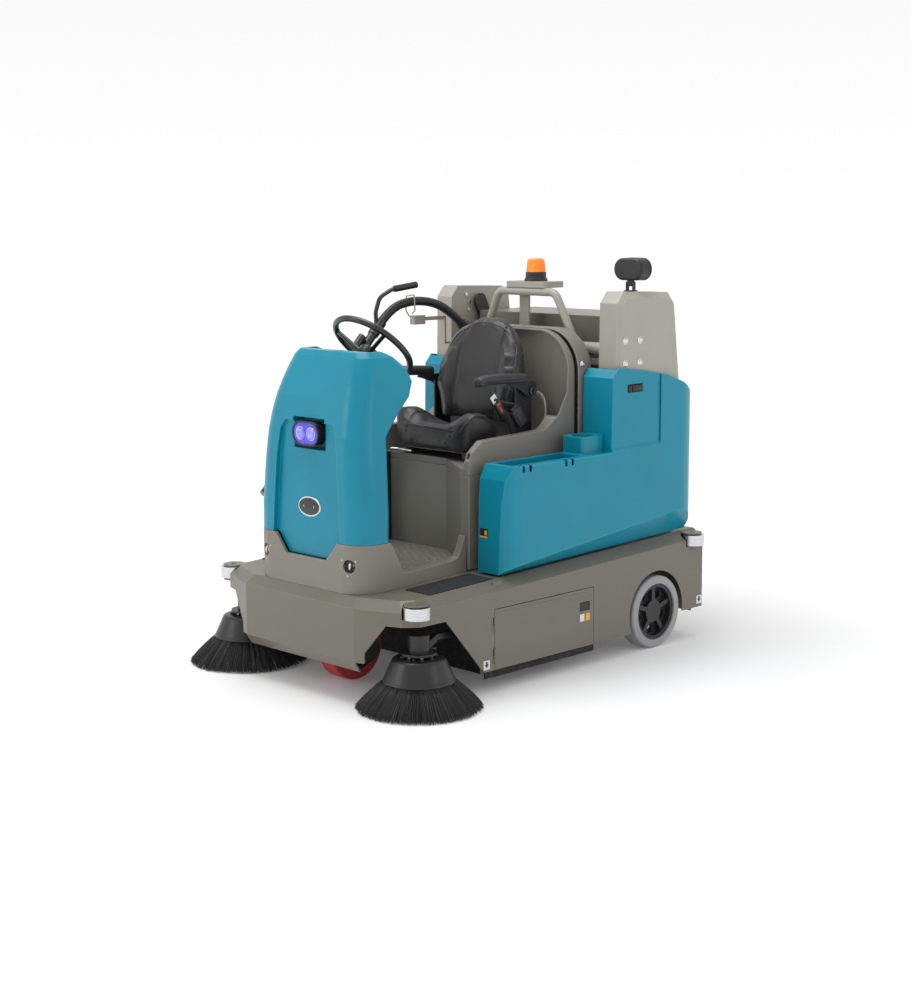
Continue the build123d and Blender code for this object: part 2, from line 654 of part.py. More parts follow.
def guard_frame():
    y = 428.0
    path = [(-268, y + 14, 1262), (-162, y, 1478), (162, y, 1478), (268, y + 14, 1262)]
    hoop = sweep_round(path, 46, 17)
    ty, tz = CROSS_TUBE
    cross = rod((-TOWER_X[0] + 0.3, ty, tz), (TOWER_X[0] - 0.3, ty, tz), 27.5)
    plate = block(-112, 112, 414, 540, 1488, 1494) + block(-112, 112, 414, 420, 1488, 1520)
    tray = block(-112, 112, 414, 540, 1494, 1520)
    tray = soften(tray, 12, lambda e: e.filter_by(Axis.Z))
    tray -= block(-106, 106, 420, 534, 1400, 1515)
    post = block(-88, -34, 476, 486, tz, 1516)
    return hoop + cross + tray + post + block(-100, 100, 424, 432, 1470, 1516)


BEACON_Y = 484.0


def black_fittings():
    base = cone((0, BEACON_Y, 1520), (0, BEACON_Y, 1532), 50, 48)
    base += rod((0, BEACON_Y, 1532), (0, BEACON_Y, 1556), 44)
    base -= rod((0, BEACON_Y, 1548), (0, BEACON_Y, 1560), 36)
    # bracket of the rear work lamp, a fork on the tower top
    x = 475.0
    bracket = block(x - 20, x + 20, 518, 560, 1488, 1492)
    ears = [block(x + s * 17 - 2, x + s * 17 + 2, 529, 547, 1490, 1527) for s in (-1, 1)]
    rear = bracket + ears[0] + ears[1] + rod((x - 17, 538, 1518), (x + 17, 538, 1518), 4)
    # bracket of the front lamp, from the pocket's back wall
    front = block(-26, 26, -722, -716.3, 960, 1018)
    front += block(-26, -22, -738, -716.3, 975, 1003) + block(22, 26, -738, -716.3, 975, 1003)
    front += rod((-24, -732, LAMP_Z), (24, -732, LAMP_Z), 3.5)
    # hose port on the shroud's shoulder
    port_end = Vector(*HOSE_ROUTE[-1])
    direction = (Vector(*HOSE_ROUTE[-2]) - port_end).normalized()
    port = tube(port_end - direction * 26, port_end, 24, 16)
    flange = rod(port_end - direction * 40, port_end - direction * 22, 32)
    port = port + flange - arch(380.2, 1338.2, 172, 300, 420, 400)
    return group(base, rear, front, port)


def beacon_lens():
    lens = cone((0, BEACON_Y, 1556.3), (0, BEACON_Y, 1608), 42, 34)
    dome = cone((0, BEACON_Y, 1608), (0, BEACON_Y, 1616), 34, 26)
    spigot = rod((0, BEACON_Y, 1548.3), (0, BEACON_Y, 1557), 35.5)
    return lens + dome + spigot


def rear_lamp():
    x, y, z = 475.0, 538.0, 1577.0
    body = extrude(Plane.XZ.offset(-(y - 22)) * Pos(x, z) * SlotOverall(150, 90), 58, dir=(0, 1, 0))
    body = soften(body, 10, lambda e: e.filter_by(lambda k: abs(k.center().Y - (y - 22)) < 0.5))
    body += extrude(Plane.XZ.offset(-(y + 36)) * Pos(x, z) * (SlotOverall(154, 92) - SlotOverall(140, 80)), 5,
                    dir=(0, 1, 0))
    lug = block(x - 12, x + 12, y - 9, y + 9, 1508, 1540)
    return body + lug - rod((x - 20, y, 1518), (x + 20, y, 1518), 4 + RUN_FIT)


def front_lamp():
    lug = block(-18, 18, -746, -726, LAMP_Z - 10, LAMP_Z + 10)
    lug -= rod((-30, -732, LAMP_Z), (30, -732, LAMP_Z), 3.5 + RUN_FIT)
    return front_lamp_bits() + lug


# ---------------------------------------------------------------- hopper and lift
def hopper():
    profile = [(522, 205), (522, 1180), (546, 1204), (546, HOPPER_TOP), (900, HOPPER_TOP), (HOPPER_REAR, 1356),
               (HOPPER_REAR, 205)]
    outer = yz_plate(profile, -HOPPER_HALF, HOPPER_HALF)
    inner = [(527, 210), (527, 1178), (551, 1202), (551, HOPPER_TOP - 6), (898, HOPPER_TOP - 6),
             (HOPPER_REAR - 5, 1353), (HOPPER_REAR - 5, 210)]
    shell = outer - yz_plate(inner, -HOPPER_HALF + 5, HOPPER_HALF - 5)
    shell -= block(-360, 360, 500, 540, 210, 420)
    shell -= block(-360, 360, 900, 940, 230, 640)
    # stiffening ribs and the pivot bosses
    for z in (760, 1010, 1240):
        shell += block(-360, 360, HOPPER_REAR, HOPPER_REAR + 5, z, z + 26)
    for x in (-300, 300):
        shell += block(x - 24, x + 24, HOPPER_REAR - 1, HOPPER_REAR + 5, 655, 690)
    y, z = HOPPER_PIVOT
    shell += both(rod((HOPPER_HALF - 6, y, z), (HOPPER_HALF + 4, y, z), 38))
    shell += both(rod((HOPPER_HALF, y, z), (416, y, z), 16))
    return shell


def hopper_door():
    plate = block(-384, 384, HOPPER_REAR + 1, HOPPER_REAR + 6, 212, 650)
    lip = block(-384, 384, HOPPER_REAR + 1, HOPPER_REAR + 11, 212, 228)
    ribs = [block(x - 10, x + 10, HOPPER_REAR + 5, HOPPER_REAR + 11, 228, 640) for x in (-240, 0, 240)]
    door = plate + lip
    for rib in ribs:
        door += rib
    for x in (-300, 300):
        door += rod((x - 46, HOPPER_REAR + 6, 652), (x - 27, HOPPER_REAR + 6, 652), 5)
        door += rod((x + 27, HOPPER_REAR + 6, 652), (x + 46, HOPPER_REAR + 6, 652), 5)
    return door


def lift_arms():
    y0, z0 = LIFT_PIVOT
    y1, z1 = HOPPER_PIVOT
    length = math.hypot(y1 - y0, z1 - z0)
    uy = (y1 - y0) / length
    uz = (z1 - z0) / length
    half = 34.0
    corners = [(y0 - uz * half, z0 + uy * half), (y1 - uz * half, z1 + uy * half),
               (y1 + uz * half, z1 - uy * half), (y0 + uz * half, z0 - uy * half)]
    arm = yz_plate(corners, 401, 413)
    arm += rod((401, y0, z0), (413, y0, z0), half) + rod((401, y1, z1), (413, y1, z1), half)
    arm -= rod((390, y1, z1), (420, y1, z1), 16 + RUN_FIT)
    arm += rod((413, y0, z0), (TOWER_X[0] + 30, y0, z0), 20)
    return both(arm)


# ---------------------------------------------------------------- wheels
def rear_tyre():
    x, y, z = REAR_WHEEL
    half = REAR_WHEEL_W / 2
    ring = tube((x - half, y, z), (x + half, y, z), REAR_WHEEL_R, 119.2)
    return soften(ring, 9, lambda e: e.filter_by(lambda k: abs(k.radius - REAR_WHEEL_R) < 0.1
                                                 if k.geom_type == GeomType.CIRCLE else False))


def rear_rim():
    x, y, z = REAR_WHEEL
    rim = tube((x - 40, y, z), (x + 34, y, z), 119, 104)
    web = rod((x - 12, y, z), (x + 4, y, z), 106)
    hub = rod((x - 38, y, z), (x + 26, y, z), 47)
    rim = rim + web + hub
    for i in range(5):
        angle = math.radians(90 + 72 * i)
        rib = Pos(x + 12, y, z) * Rot(math.degrees(angle), 0, 0) * (Pos(0, 76, 0) * Box(26, 60, 18))
        rim += rib
        mid = math.radians(90 + 36 + 72 * i)
        hole_y = y + 80 * math.cos(mid)
        hole_z = z + 80 * math.sin(mid)
        rim -= rod((x - 20, hole_y, hole_z), (x + 20, hole_y, hole_z), 20)
    rim -= rod((x - 60, y, z), (x + 21, y, z), 20 + RUN_FIT)
    return rim


def front_tyre():
    x, y, z = FRONT_WHEEL
    half = FRONT_WHEEL_W / 2
    ring = tube((x - half, y, z), (x + half, y, z), FRONT_WHEEL_R, 92.2)
    return soften(ring, 8, lambda e: e.filter_by(lambda k: abs(k.radius - FRONT_WHEEL_R) < 0.1
                                                 if k.geom_type == GeomType.CIRCLE else False))


def front_rim():
    x, y, z = FRONT_WHEEL
    rim = tube((x - 40, y, z), (x + 40, y, z), 92, 80) + rod((x - 12, y, z), (x + 12, y, z), 84)
    rim += rod((x - 40, y, z), (x + 40, y, z), 38)
    for i in range(6):
        angle = math.radians(60 * i)
        hole_y = y + 60 * math.cos(angle)
        hole_z = z + 60 * math.sin(angle)
        rim -= rod((x - 20, hole_y, hole_z), (x + 20, hole_y, hole_z), 13)
    return rim - rod((x - 60, y, z), (x + 60, y, z), 16 + RUN_FIT)


def front_fork():
    x, y, z = FRONT_WHEEL
    fork = rod((0, y, 322), (0, y, 428), 30)
    fork += block(-70, 70, y - 52, y + 52, 302, 322)
    leg = yz_plate([(y - 52, 310), (y - 30, z - 20), (y + 30, z - 20), (y + 52, 310)], 58, 70)
    fork += both(leg)
    fork += rod((-70, y, z), (70, y, z), 16)
    motor = rod((70.3, y, z + 6), (118, y, z + 6), 52)
    motor += block(70.3, 96, y - 30, y + 30, z + 50, z + 120)
    return group(fork, motor)


def roller(key):
    x, y, z = ROLLERS[key]
    wheel = tube((x, y, z - ROLLER_H / 2), (x, y, z + ROLLER_H / 2), ROLLER_R, 9 + RUN_FIT)
    return wheel


# ---------------------------------------------------------------- brushes
def brush_arm():
    y, z = BRUSH_ARM_PIVOT
    arm = block(484, 508, -600, y, 240, 262)
    arm += rod((461, y, z), (521, y, z), 15)
    arm -= rod((440, y, z), (540, y, z), 8 + RUN_FIT)
    arm += rod((BRUSH_X, BRUSH_Y, 206), (BRUSH_X, BRUSH_Y, 214), 66)
    arm += yz_plate([(-600, 262), (-640, 214), (-640, 206), (-600, 240)], 484, 508)
    arm += block(486, 506, -650, -600, 206, 214) + yz_plate([(-596, 262), (-596, 236), (-660, 206), (-660, 230)], 484, 508)
    motor = rod((BRUSH_X, BRUSH_Y, 214), (BRUSH_X, BRUSH_Y, 280), 40)
    return arm + motor - rod((BRUSH_X, BRUSH_Y, 190), (BRUSH_X, BRUSH_Y, 250), 10 + RUN_FIT)


def side_brush():
    cup = cone((BRUSH_X, BRUSH_Y, 102), (BRUSH_X, BRUSH_Y, 190), 134, 86)
    cup -= cone((BRUSH_X, BRUSH_Y, 101), (BRUSH_X, BRUSH_Y, 170), 122, 84)
    cup += rod((BRUSH_X, BRUSH_Y, 150), (BRUSH_X, BRUSH_Y, 196), 24)
    cup += rod((BRUSH_X, BRUSH_Y, 190), (BRUSH_X, BRUSH_Y, 246), 10)
    outer = cone((BRUSH_X, BRUSH_Y, 1), (BRUSH_X, BRUSH_Y, 120), BRUSH_R, 112)
    inner = cone((BRUSH_X, BRUSH_Y, 0), (BRUSH_X, BRUSH_Y, 121), 190, 84)
    bristles = outer - inner
    bristles = bristles - cone((BRUSH_X, BRUSH_Y, 101.7), (BRUSH_X, BRUSH_Y, 190.3), 134.3, 86.3)
    return group(cup, bristles)


def main_brush():
    y, z = MAIN_BRUSH
    core = tube((-MAIN_BRUSH_HALF, y, z), (MAIN_BRUSH_HALF, y, z), 60, 17 + RUN_FIT)
    for i in range(8):
        angle = 45 * i
        strip = Pos(0, y, z) * Rot(angle, 0, 0) * (Pos(0, 99, 0) * Box(2 * MAIN_BRUSH_HALF - 8, 82, 34))
        core += strip & rod((-400, y, z), (400, y, z), MAIN_BRUSH_R)
    return core


def main_brush_arm():
    y, z = MAIN_BRUSH
    py, pz = MAIN_ARM_PIVOT
    arm = yz_plate([(y - 30, z + 26), (y - 30, z - 26), (y + 26, z - 30), (py + 22, pz - 14), (py + 22, pz + 22),
                    (py - 20, pz + 24)], 397, 403)
    arm -= rod((390, py, pz), (420, py, pz), 9 + RUN_FIT)
    stub = rod((340, y, z), (403, y, z), 17)
    bar = rod((-397, py - 62, pz + 24 - 30), (397, py - 62, pz - 6), 12)
    return both(arm + stub) + bar


# ---------------------------------------------------------------- doors, latches, pedals
def brush_door():
    y0, y1 = DOOR_Y
    z0, z1 = DOOR_Z
    panel = block(HALF_W - SKIRT_T, HALF_W, y0 + DOOR_GAP, y1 - DOOR_GAP, z0, z1 - DOOR_GAP)
    panel += block(HALF_W - 16, HALF_W - SKIRT_T, y0 + 20, y1 - 20, z1 - 20, z1 - DOOR_GAP - 2)
    panel += block(HALF_W - 16, HALF_W - SKIRT_T, y0 + 20, y1 - 20, z0 + 2, z0 + 6)
    panel += block(HALF_W, HALF_W + 2.5, y0 + 14, y1 - 10, z1 - 24, z1 - 18)
    for low in (141, 261):
        panel += rod((DOOR_PIN_X, y0, low), (DOOR_PIN_X, y0, low + 29), 5)
        panel += block(HALF_W - SKIRT_T, HALF_W, y0 - 1, y0 + 8, low, low + 29)
    for low in (110, 230):
        panel -= block(548, 570, y0, y0 + 8, low - 1, low + 31)
    # recessed cup for the paddle latch
    panel -= block(550, 560, 146, 208, 232, 268)
    panel += block(546, 549, 142, 212, 228, 272) + block(549, 552, 142, 146, 228, 272)
    panel += block(549, 552, 208, 212, 228, 272) + block(549, 552, 142, 212, 228, 232)
    panel += block(549, 552, 142, 212, 268, 272)
    return panel


LATCH_PIN = (552.0, 262.5)      # x, z of the paddle's pin


def door_latch():
    x, z = LATCH_PIN
    paddle = block(550.5, 555.5, 149, 205, 236, z)
    paddle += rod((x + 1, 149, z), (x + 1, 205, z), 3)
    return paddle


def pedal(x0, x1):
    pin_z = deck_z(PEDAL_Y) + FLOOR_T + 10
    pad = yz_plate([(-4, 2), (2, -4), (-78, 88), (-84, 82)], x0, x1)
    pad = Pos(0, PEDAL_Y, pin_z) * pad
    heel = rod((x0, PEDAL_Y, pin_z), (x1, PEDAL_Y, pin_z), 7)
    ribs = []
    for i in range(5):
        k = 0.15 + 0.17 * i
        ribs.append(rod((x0 + 4, PEDAL_Y + 2 - 80 * k, pin_z - 3 + 92 * k), (x1 - 4, PEDAL_Y + 2 - 80 * k, pin_z - 3 + 92 * k), 2.5))
    out = pad + heel
    for rib in ribs:
        out += rib
    return out


# ---------------------------------------------------------------- seat
def seat_base():
    pan = block(-225, 225, -120, 150, 858, 864)
    rails = both(block(150, 180, -110, 140, 836, 858))
    frame = both(block(232, 240, 110, 200, 864, 1110))
    cross = block(-240, 240, 150, 196, 858, 866)
    hinge = both(rod((240, 184, 1094), (262, 184, 1094), 10))
    return pan + rails + frame + cross + hinge


def seat_cushion():
    bottom = rounded_plan(208, -138, 64, 76, 865.3, 30)
    middle = rounded_plan(228, -154, 68, 84, 895, 36)
    upper = rounded_plan(232, -160, 68, 84, 935, 38)
    top = rounded_plan(216, -148, 62, 76, 955, 30)
    pad = loft([bottom, middle, upper, top], ruled=True)
    wing = [(-130, 930), (-140, 968), (-124, 1006), (-92, 1024), (-46, 1014), (14, 984), (56, 956), (58, 930)]
    return pad + both(yz_plate(wing, 150, 222))


def seat_back():
    levels = ((880, 206, 128, 96), (960, 214, 134, 112), (1105, 226, 152, 118), (1235, 214, 178, 112),
              (1303, 178, 200, 96), (1360, 118, 216, 66), (1392, 60, 224, 36))
    faces = []
    for z, half, mid, thick in levels:
        with BuildSketch(Plane.XY.offset(z)) as sketch:
            with Locations((0, mid)):
                RectangleRounded(2 * half, thick, thick * 0.36)
        faces.append(sketch.sketch.faces()[0])
    return loft(faces, ruled=True)


ARM_PIVOT = (184.0, 1094.0)      # y, z


def armrest():
    y, z = ARM_PIVOT
    pad = block(246, 300, -150, 128, 1134, 1172)
    pad = soften(pad, 14, lambda e: e.filter_by(Axis.X) + e.filter_by(Axis.Y))
    link = yz_plate([(y - 20, z - 14), (y + 20, z - 18), (y + 26, z + 40), (90, 1140), (60, 1134)], 250, 260)
    link += rod((242, y, z), (262.5, y, z), 20)
    link -= rod((230, y, z), (270, y, z), 10 + RUN_FIT)
    return pad + link


def slide_lever():
    shaft = rod((-205, -130, 846), (-120, -130, 846), 5)
    grip = rod((-203, -130, 846), (-232, -146, 846), 6)
    return shaft + grip


def seat_belt():
    y = 60.0
    box = block(262, 300, 40, 100, 880, 960)
    box = soften(box, 8, lambda e: e)
    stalk = yz_plate([(-6, 1040), (44, 1010), (62, 950), (36, 940), (-32, 1020)], 266, 278)
    tongue = yz_plate([(-30, 1046), (-8, 1060), (-44, 1104), (-66, 1090)], 270, 274)
    slot = yz_plate([(-44, 1072), (-36, 1078), (-50, 1092), (-57, 1087)], 260, 280)
    bracket = block(241, 262, 46, 96, 866, 872) + block(258, 264, 46, 96, 866, 900)
    return group(box + stalk + (tongue - slot) + bracket)


# ---------------------------------------------------------------- vacuum wand and hose
WAND_LOW = (-372.0, -655.0, 745.0)
WAND_TOP = (-372.0, -92.0, 1328.0)
HOSE_ROUTE = [(-372.0, -64.0, 1357.2), (-371.0, -6.0, 1414.0), (-362.0, 94.0, 1440.0), (-350.0, 198.0, 1434.0),
              (-336.0, 288.0, 1398.0), (-322.0, 354.0, 1336.0)]


def route_radii(route):
    radii = []
    for a, b, c in zip(route, route[1:], route[2:]):
        first = Vector(*b) - Vector(*a)
        second = Vector(*c) - Vector(*b)
        turn = math.radians(first.get_angle(second))
        radii.append(0.45 * min(first.length, second.length) / math.tan(turn / 2))
    return radii


def vacuum_hose():
    radii = route_radii(HOSE_ROUTE)
    print("hose bend radii:", [round(r) for r in radii])
    hose = sweep_round(HOSE_ROUTE, radii, HOSE_D / 2)
    path = FilletPolyline(*HOSE_ROUTE, radius=radii)
    section = math.pi * (HOSE_D / 2) ** 2
    print("hose length:", round(path.length), "volume ratio:", round(hose.volume / (section * path.length), 4))
    return hose


def vacuum_wand():
    low = Vector(*WAND_LOW)
    top = Vector(*WAND_TOP)
    axis = (top - low).normalized()
    end = Vector(*HOSE_ROUTE[0])
    side = Vector(0, -axis.Z, axis.Y)
    wand = rod(low - axis * 40, top, 19)
    wand += rod(low + side * 39 + axis * 60, top + side * 39 - axis * 70, 17)
    for along in (120, 620):
        wand += rod(low + side * 39 + axis * along, low + axis * along, 11)
    wand += rod(top - axis * 30, end, 24)
    wand += rod(low - axis * 62, low - axis * 8, 25)
    handle = sweep_round([(-372, -90, 1330), (-368, -98, 1400), (-358, -84, 1462), (-341, -30, 1493),
                          (-322, 92, 1509)], [40, 50, 50], 9)
    grip_a = Vector(-341, -30, 1493)
    grip_b = Vector(-322, 92, 1509)
    wand += handle + rod(grip_a + (grip_b - grip_a) * 0.1, grip_b, 14)
    return wand


def wand_holder():
    # upper hook: block, bar back to the tower, and a wire loop under the hose
    block_piece = block(-412, -382, 138, 200, 1336, 1374)
    bar = block(-400, -392, 190, 330, 1350, 1366)
    drop = block(-424, -388, 322, 330, 1250, 1366)
    foot = block(-424, -388, 322, 396, 1244, 1252) + block(-424, -388, 388, 396, 1200, 1252)
    wire = sweep_round([(-397, 150, 1372), (-397, 120, 1372), (-392, 96, 1398), (-388, 96, 1460), (-340, 96, 1466),
                        (-336, 96, 1400), (-342, 84, 1386)], 5, 3)
    # lower clip on the console's far side
    low = Vector(*WAND_LOW)
    axis = (Vector(*WAND_TOP) - low).normalized()
    spot = low + axis * 34
    clip = tube(spot - axis * 14, spot + axis * 14, 24, 19.3)
    arm = block(-350, -309.5, spot.Y + 14, spot.Y + 22, spot.Z - 30, spot.Z + 6)
    arm += block(-313, -309.5, spot.Y - 8, spot.Y + 30, spot.Z - 40, spot.Z + 20)
    return group(block_piece + bar + drop + foot + wire, clip + arm)


# ---------------------------------------------------------------- build and export
def build_parts():
    PARTS["chassis"] = chassis()
    PARTS["deck_mats"] = deck_mats()
    PARTS["rubber_skirts"] = rubber_skirts()
    PARTS["floor_pan"] = floor_pan()
    PARTS["console_shell"] = console_shell()
    PARTS["dash_panel"] = dash_panel()
    PARTS["stop_button"] = stop_button()
    PARTS["key_switch"] = key_switch()
    PARTS["steering_column"] = steering_column()
    PARTS["steering_wheel"] = steering_wheel()
    PARTS["front_lamp"] = front_lamp()
    PARTS["seat_hood"] = seat_hood()
    PARTS["back_shroud"] = back_shroud()
    PARTS["fasteners"] = fasteners()
    PARTS["battery_pack"] = battery_pack()
    PARTS["vacuum_unit"] = vacuum_unit()
    sided("side_cover", side_cover())
    sided("tower", tower())
    PARTS["guard_frame"] = guard_frame()
    PARTS["black_fittings"] = black_fittings()
    PARTS["beacon_lens"] = beacon_lens()
    PARTS["rear_lamp"] = rear_lamp()
    PARTS["hopper"] = hopper()
    PARTS["hopper_door"] = hopper_door()
    PARTS["lift_arms"] = lift_arms()
    sided("rear_tyre", rear_tyre())
    sided("rear_rim", rear_rim())
    PARTS["front_tyre"] = front_tyre()
    PARTS["front_rim"] = front_rim()
    PARTS["front_fork"] = front_fork()
    for key in ROLLERS:
        sided("roller_" + key, roller(key))
    sided("brush_arm", brush_arm())
    sided("side_brush", side_brush())
    PARTS["main_brush"] = main_brush()
    PARTS["main_brush_arm"] = main_brush_arm()
    sided("brush_door", brush_door())
    sided("door_latch", door_latch())
    PARTS["accelerator_pedal"] = pedal(-190, -110)
    PARTS["brake_pedal"] = pedal(60, 130)
    PARTS["seat_base"] = seat_base()
    PARTS["seat_cushion"] = seat_cushion()
    PARTS["seat_back"] = seat_back()
    sided("armrest", armrest())
    PARTS["slide_lever"] = slide_lever()
    PARTS["seat_belt"] = seat_belt()
    PARTS["vacuum_wand"] = vacuum_wand()
    PARTS["vacuum_hose"] = vacuum_hose()
    PARTS["wand_holder"] = wand_holder()


build_parts()
os.makedirs("parts", exist_ok=True)
for node, shape in PARTS.items():
    export_step(shape, "parts/" + node + ".step")
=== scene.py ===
import json
import math
import random

import bmesh
import bpy
from mathutils import Matrix, Vector
from mathutils.bvhtree import BVHTree


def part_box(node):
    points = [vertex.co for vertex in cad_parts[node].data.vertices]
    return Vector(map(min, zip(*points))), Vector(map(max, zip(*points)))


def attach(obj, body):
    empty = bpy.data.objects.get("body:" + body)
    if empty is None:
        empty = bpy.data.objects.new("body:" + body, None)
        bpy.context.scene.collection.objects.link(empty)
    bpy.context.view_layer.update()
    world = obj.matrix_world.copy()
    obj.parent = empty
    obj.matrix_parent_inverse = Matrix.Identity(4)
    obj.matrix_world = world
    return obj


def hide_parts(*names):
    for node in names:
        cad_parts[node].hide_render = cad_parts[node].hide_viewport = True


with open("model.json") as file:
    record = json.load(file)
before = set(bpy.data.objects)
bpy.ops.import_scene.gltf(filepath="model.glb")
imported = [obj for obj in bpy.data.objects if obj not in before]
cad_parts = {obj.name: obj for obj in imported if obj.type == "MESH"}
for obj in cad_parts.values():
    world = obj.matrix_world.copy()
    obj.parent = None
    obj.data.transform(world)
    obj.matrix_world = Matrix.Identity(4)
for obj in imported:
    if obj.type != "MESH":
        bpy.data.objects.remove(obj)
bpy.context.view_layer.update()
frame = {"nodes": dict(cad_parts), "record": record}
nodes = frame["nodes"]
SIDES = (("left", 1), ("right", -1))


# ---------------------------------------------------------------- camera
CAMERA_SPOT = Vector((5.14905, -5.04158, 1.83359))
CAMERA_AZIMUTH, CAMERA_DROP, CAMERA_ROLL = 45.605, 9.4137, -0.359


def make_camera():
    a, e, r = (math.radians(v) for v in (CAMERA_AZIMUTH, CAMERA_DROP, CAMERA_ROLL))
    back = Vector((math.sin(a) * math.cos(e), -math.cos(a) * math.cos(e), math.sin(e)))
    level = Vector((math.cos(a), math.sin(a), 0))
    over = back.cross(level)
    right = math.cos(r) * level + math.sin(r) * over
    up = -math.sin(r) * level + math.cos(r) * over
    data = bpy.data.cameras.new("view")
    data.lens = 63.81
    data.sensor_width = 36
    data.clip_end = 60
    cam = bpy.data.objects.new("view", data)
    bpy.context.scene.collection.objects.link(cam)
    cam.matrix_world = Matrix.Translation(CAMERA_SPOT) @ Matrix((right, up, back)).transposed().to_4x4()
    bpy.context.scene.camera = cam


make_camera()


# ---------------------------------------------------------------- materials
def lin(r, g, b):
    out = []
    for v in (r, g, b):
        v = v / 255
        out.append(v / 12.92 if v <= 0.04045 else ((v + 0.055) / 1.055) ** 2.4)
    return (*out, 1)


def scaled(colour, k):
    return (*(min(1, c * k) for c in colour[:3]), 1)


class Nodes:
    """A small helper that adds nodes and links to one material."""

    def __init__(self, name):
        self.mat = bpy.data.materials.new(name)
        self.mat.use_nodes = True
        self.tree = self.mat.node_tree
        self.bsdf = self.tree.nodes["Principled BSDF"]

    def add(self, kind, **values):
        node = self.tree.nodes.new("ShaderNode" + kind)
        for key, value in values.items():
            if key in node.inputs:
                node.inputs[key].default_value = value
            else:
                setattr(node, key, value)
        return node

    def link(self, a, b):
        self.tree.links.new(a, b)

    def noise(self, coords, scale, detail=3, stretch=None):
        node = self.add("TexNoise")
        node.inputs["Scale"].default_value = scale
        node.inputs["Detail"].default_value = detail
        if stretch:
            mapping = self.add("Mapping")
            mapping.inputs["Scale"].default_value = stretch
            self.link(coords, mapping.inputs["Vector"])
            coords = mapping.outputs[0]
        self.link(coords, node.inputs["Vector"])
        return node.outputs["Fac"]

    def spread(self, value, low, high, start=0.3, end=0.7):
        node = self.add("MapRange")
        for i, v in zip((1, 2, 3, 4), (start, end, low, high)):
            node.inputs[i].default_value = v
        self.link(value, node.inputs[0])
        return node.outputs[0]

    def mix(self, fac, a, b):
        node = self.add("Mix", data_type="RGBA")
        for socket, value in ((node.inputs[0], fac), (node.inputs[6], a), (node.inputs[7], b)):
            if isinstance(value, bpy.types.NodeSocket):
                self.link(value, socket)
            else:
                socket.default_value = value
        return node.outputs[2]


def material(name, colour, rough=0.5, metallic=0.0, vary=0.08, patch=5.0, grain=900.0, bump=0.12,
             depth=0.0004, edge_highlight=None, highlight_share=0.6, highlight_width=0.004, round_edges=0.0015, coat=0.0,
             coat_rough=0.15, stretch=None, cells=0.0, islands=0.0, sheen=0.0, rough_spread=0.12, dirt=0.0,
             shine=0.5):
    n = Nodes(name)
    n.bsdf.inputs["Specular IOR Level"].default_value = shine
    coords = n.add("TexCoord").outputs["Object"]
    geometry = n.add("NewGeometry")
    broad = n.noise(coords, patch, 5, stretch)
    shade = n.mix(n.spread(broad, 0, 1), scaled(colour, 1 - vary), scaled(colour, 1 + vary))
    if islands:
        island = n.spread(geometry.outputs["Random Per Island"], 0, 1, 0, 1)
        shade = n.mix(island, shade, scaled(colour, 1 + islands))
    if dirt:
        speck = n.spread(n.noise(coords, patch * 9, 8), 0, dirt, 0.52, 0.75)
        shade = n.mix(speck, shade, lin(120, 112, 98))
    # Painted highlight: where the bevel normal turns away from the face normal, a lighter edge colour is
    # mixed in along every rounded edge, standing in for light catching it.
    highlight_bevel = n.add("Bevel", samples=4, Radius=highlight_width)
    if edge_highlight:
        dot = n.add("VectorMath", operation="DOT_PRODUCT")
        n.link(highlight_bevel.outputs[0], dot.inputs[0])
        n.link(geometry.outputs["Normal"], dot.inputs[1])
        highlight_mask = n.spread(dot.outputs["Value"], highlight_share, 0, 0.93, 0.999)
        shade = n.mix(highlight_mask, shade, edge_highlight)
    n.link(shade, n.bsdf.inputs["Base Color"])
    n.link(n.spread(broad, rough * (1 - rough_spread), min(1, rough * (1 + rough_spread))),
           n.bsdf.inputs["Roughness"])
    n.bsdf.inputs["Metallic"].default_value = metallic
    n.bsdf.inputs["Coat Weight"].default_value = coat
    n.bsdf.inputs["Coat Roughness"].default_value = coat_rough
    n.bsdf.inputs["Sheen Weight"].default_value = sheen
    if cells:
        cell = n.add("TexVoronoi")
        cell.inputs["Scale"].default_value = cells
        n.link(coords, cell.inputs["Vector"])
        height = cell.outputs["Distance"]
    else:
        height = n.noise(coords, grain, 3, stretch)
    relief = n.add("Bump", Strength=bump, Distance=depth)
    n.link(height, relief.inputs["Height"])
    if round_edges:
        rounding = n.add("Bevel", samples=4, Radius=round_edges)
        n.link(rounding.outputs[0], relief.inputs["Normal"])
    n.link(relief.outputs[0], n.bsdf.inputs["Normal"])
    return n.mat


def glassy(name, scale, detail, deep, pale, rough, glow, **inputs):
    """A lens: a tint that drifts between two tones and gives off some light of its own."""
    n = Nodes(name)
    coords = n.add("TexCoord").outputs["Object"]
    tint = n.mix(n.spread(n.noise(coords, scale, detail), 0, 1), deep, pale)
    n.link(tint, n.bsdf.inputs["Base Color"])
    if glow:
        n.link(tint, n.bsdf.inputs["Emission Color"])
        n.bsdf.inputs["Emission Strength"].default_value = glow
    n.bsdf.inputs["Roughness"].default_value = rough
    for key, value in inputs.items():
        n.bsdf.inputs[key].default_value = value
    return n.mat


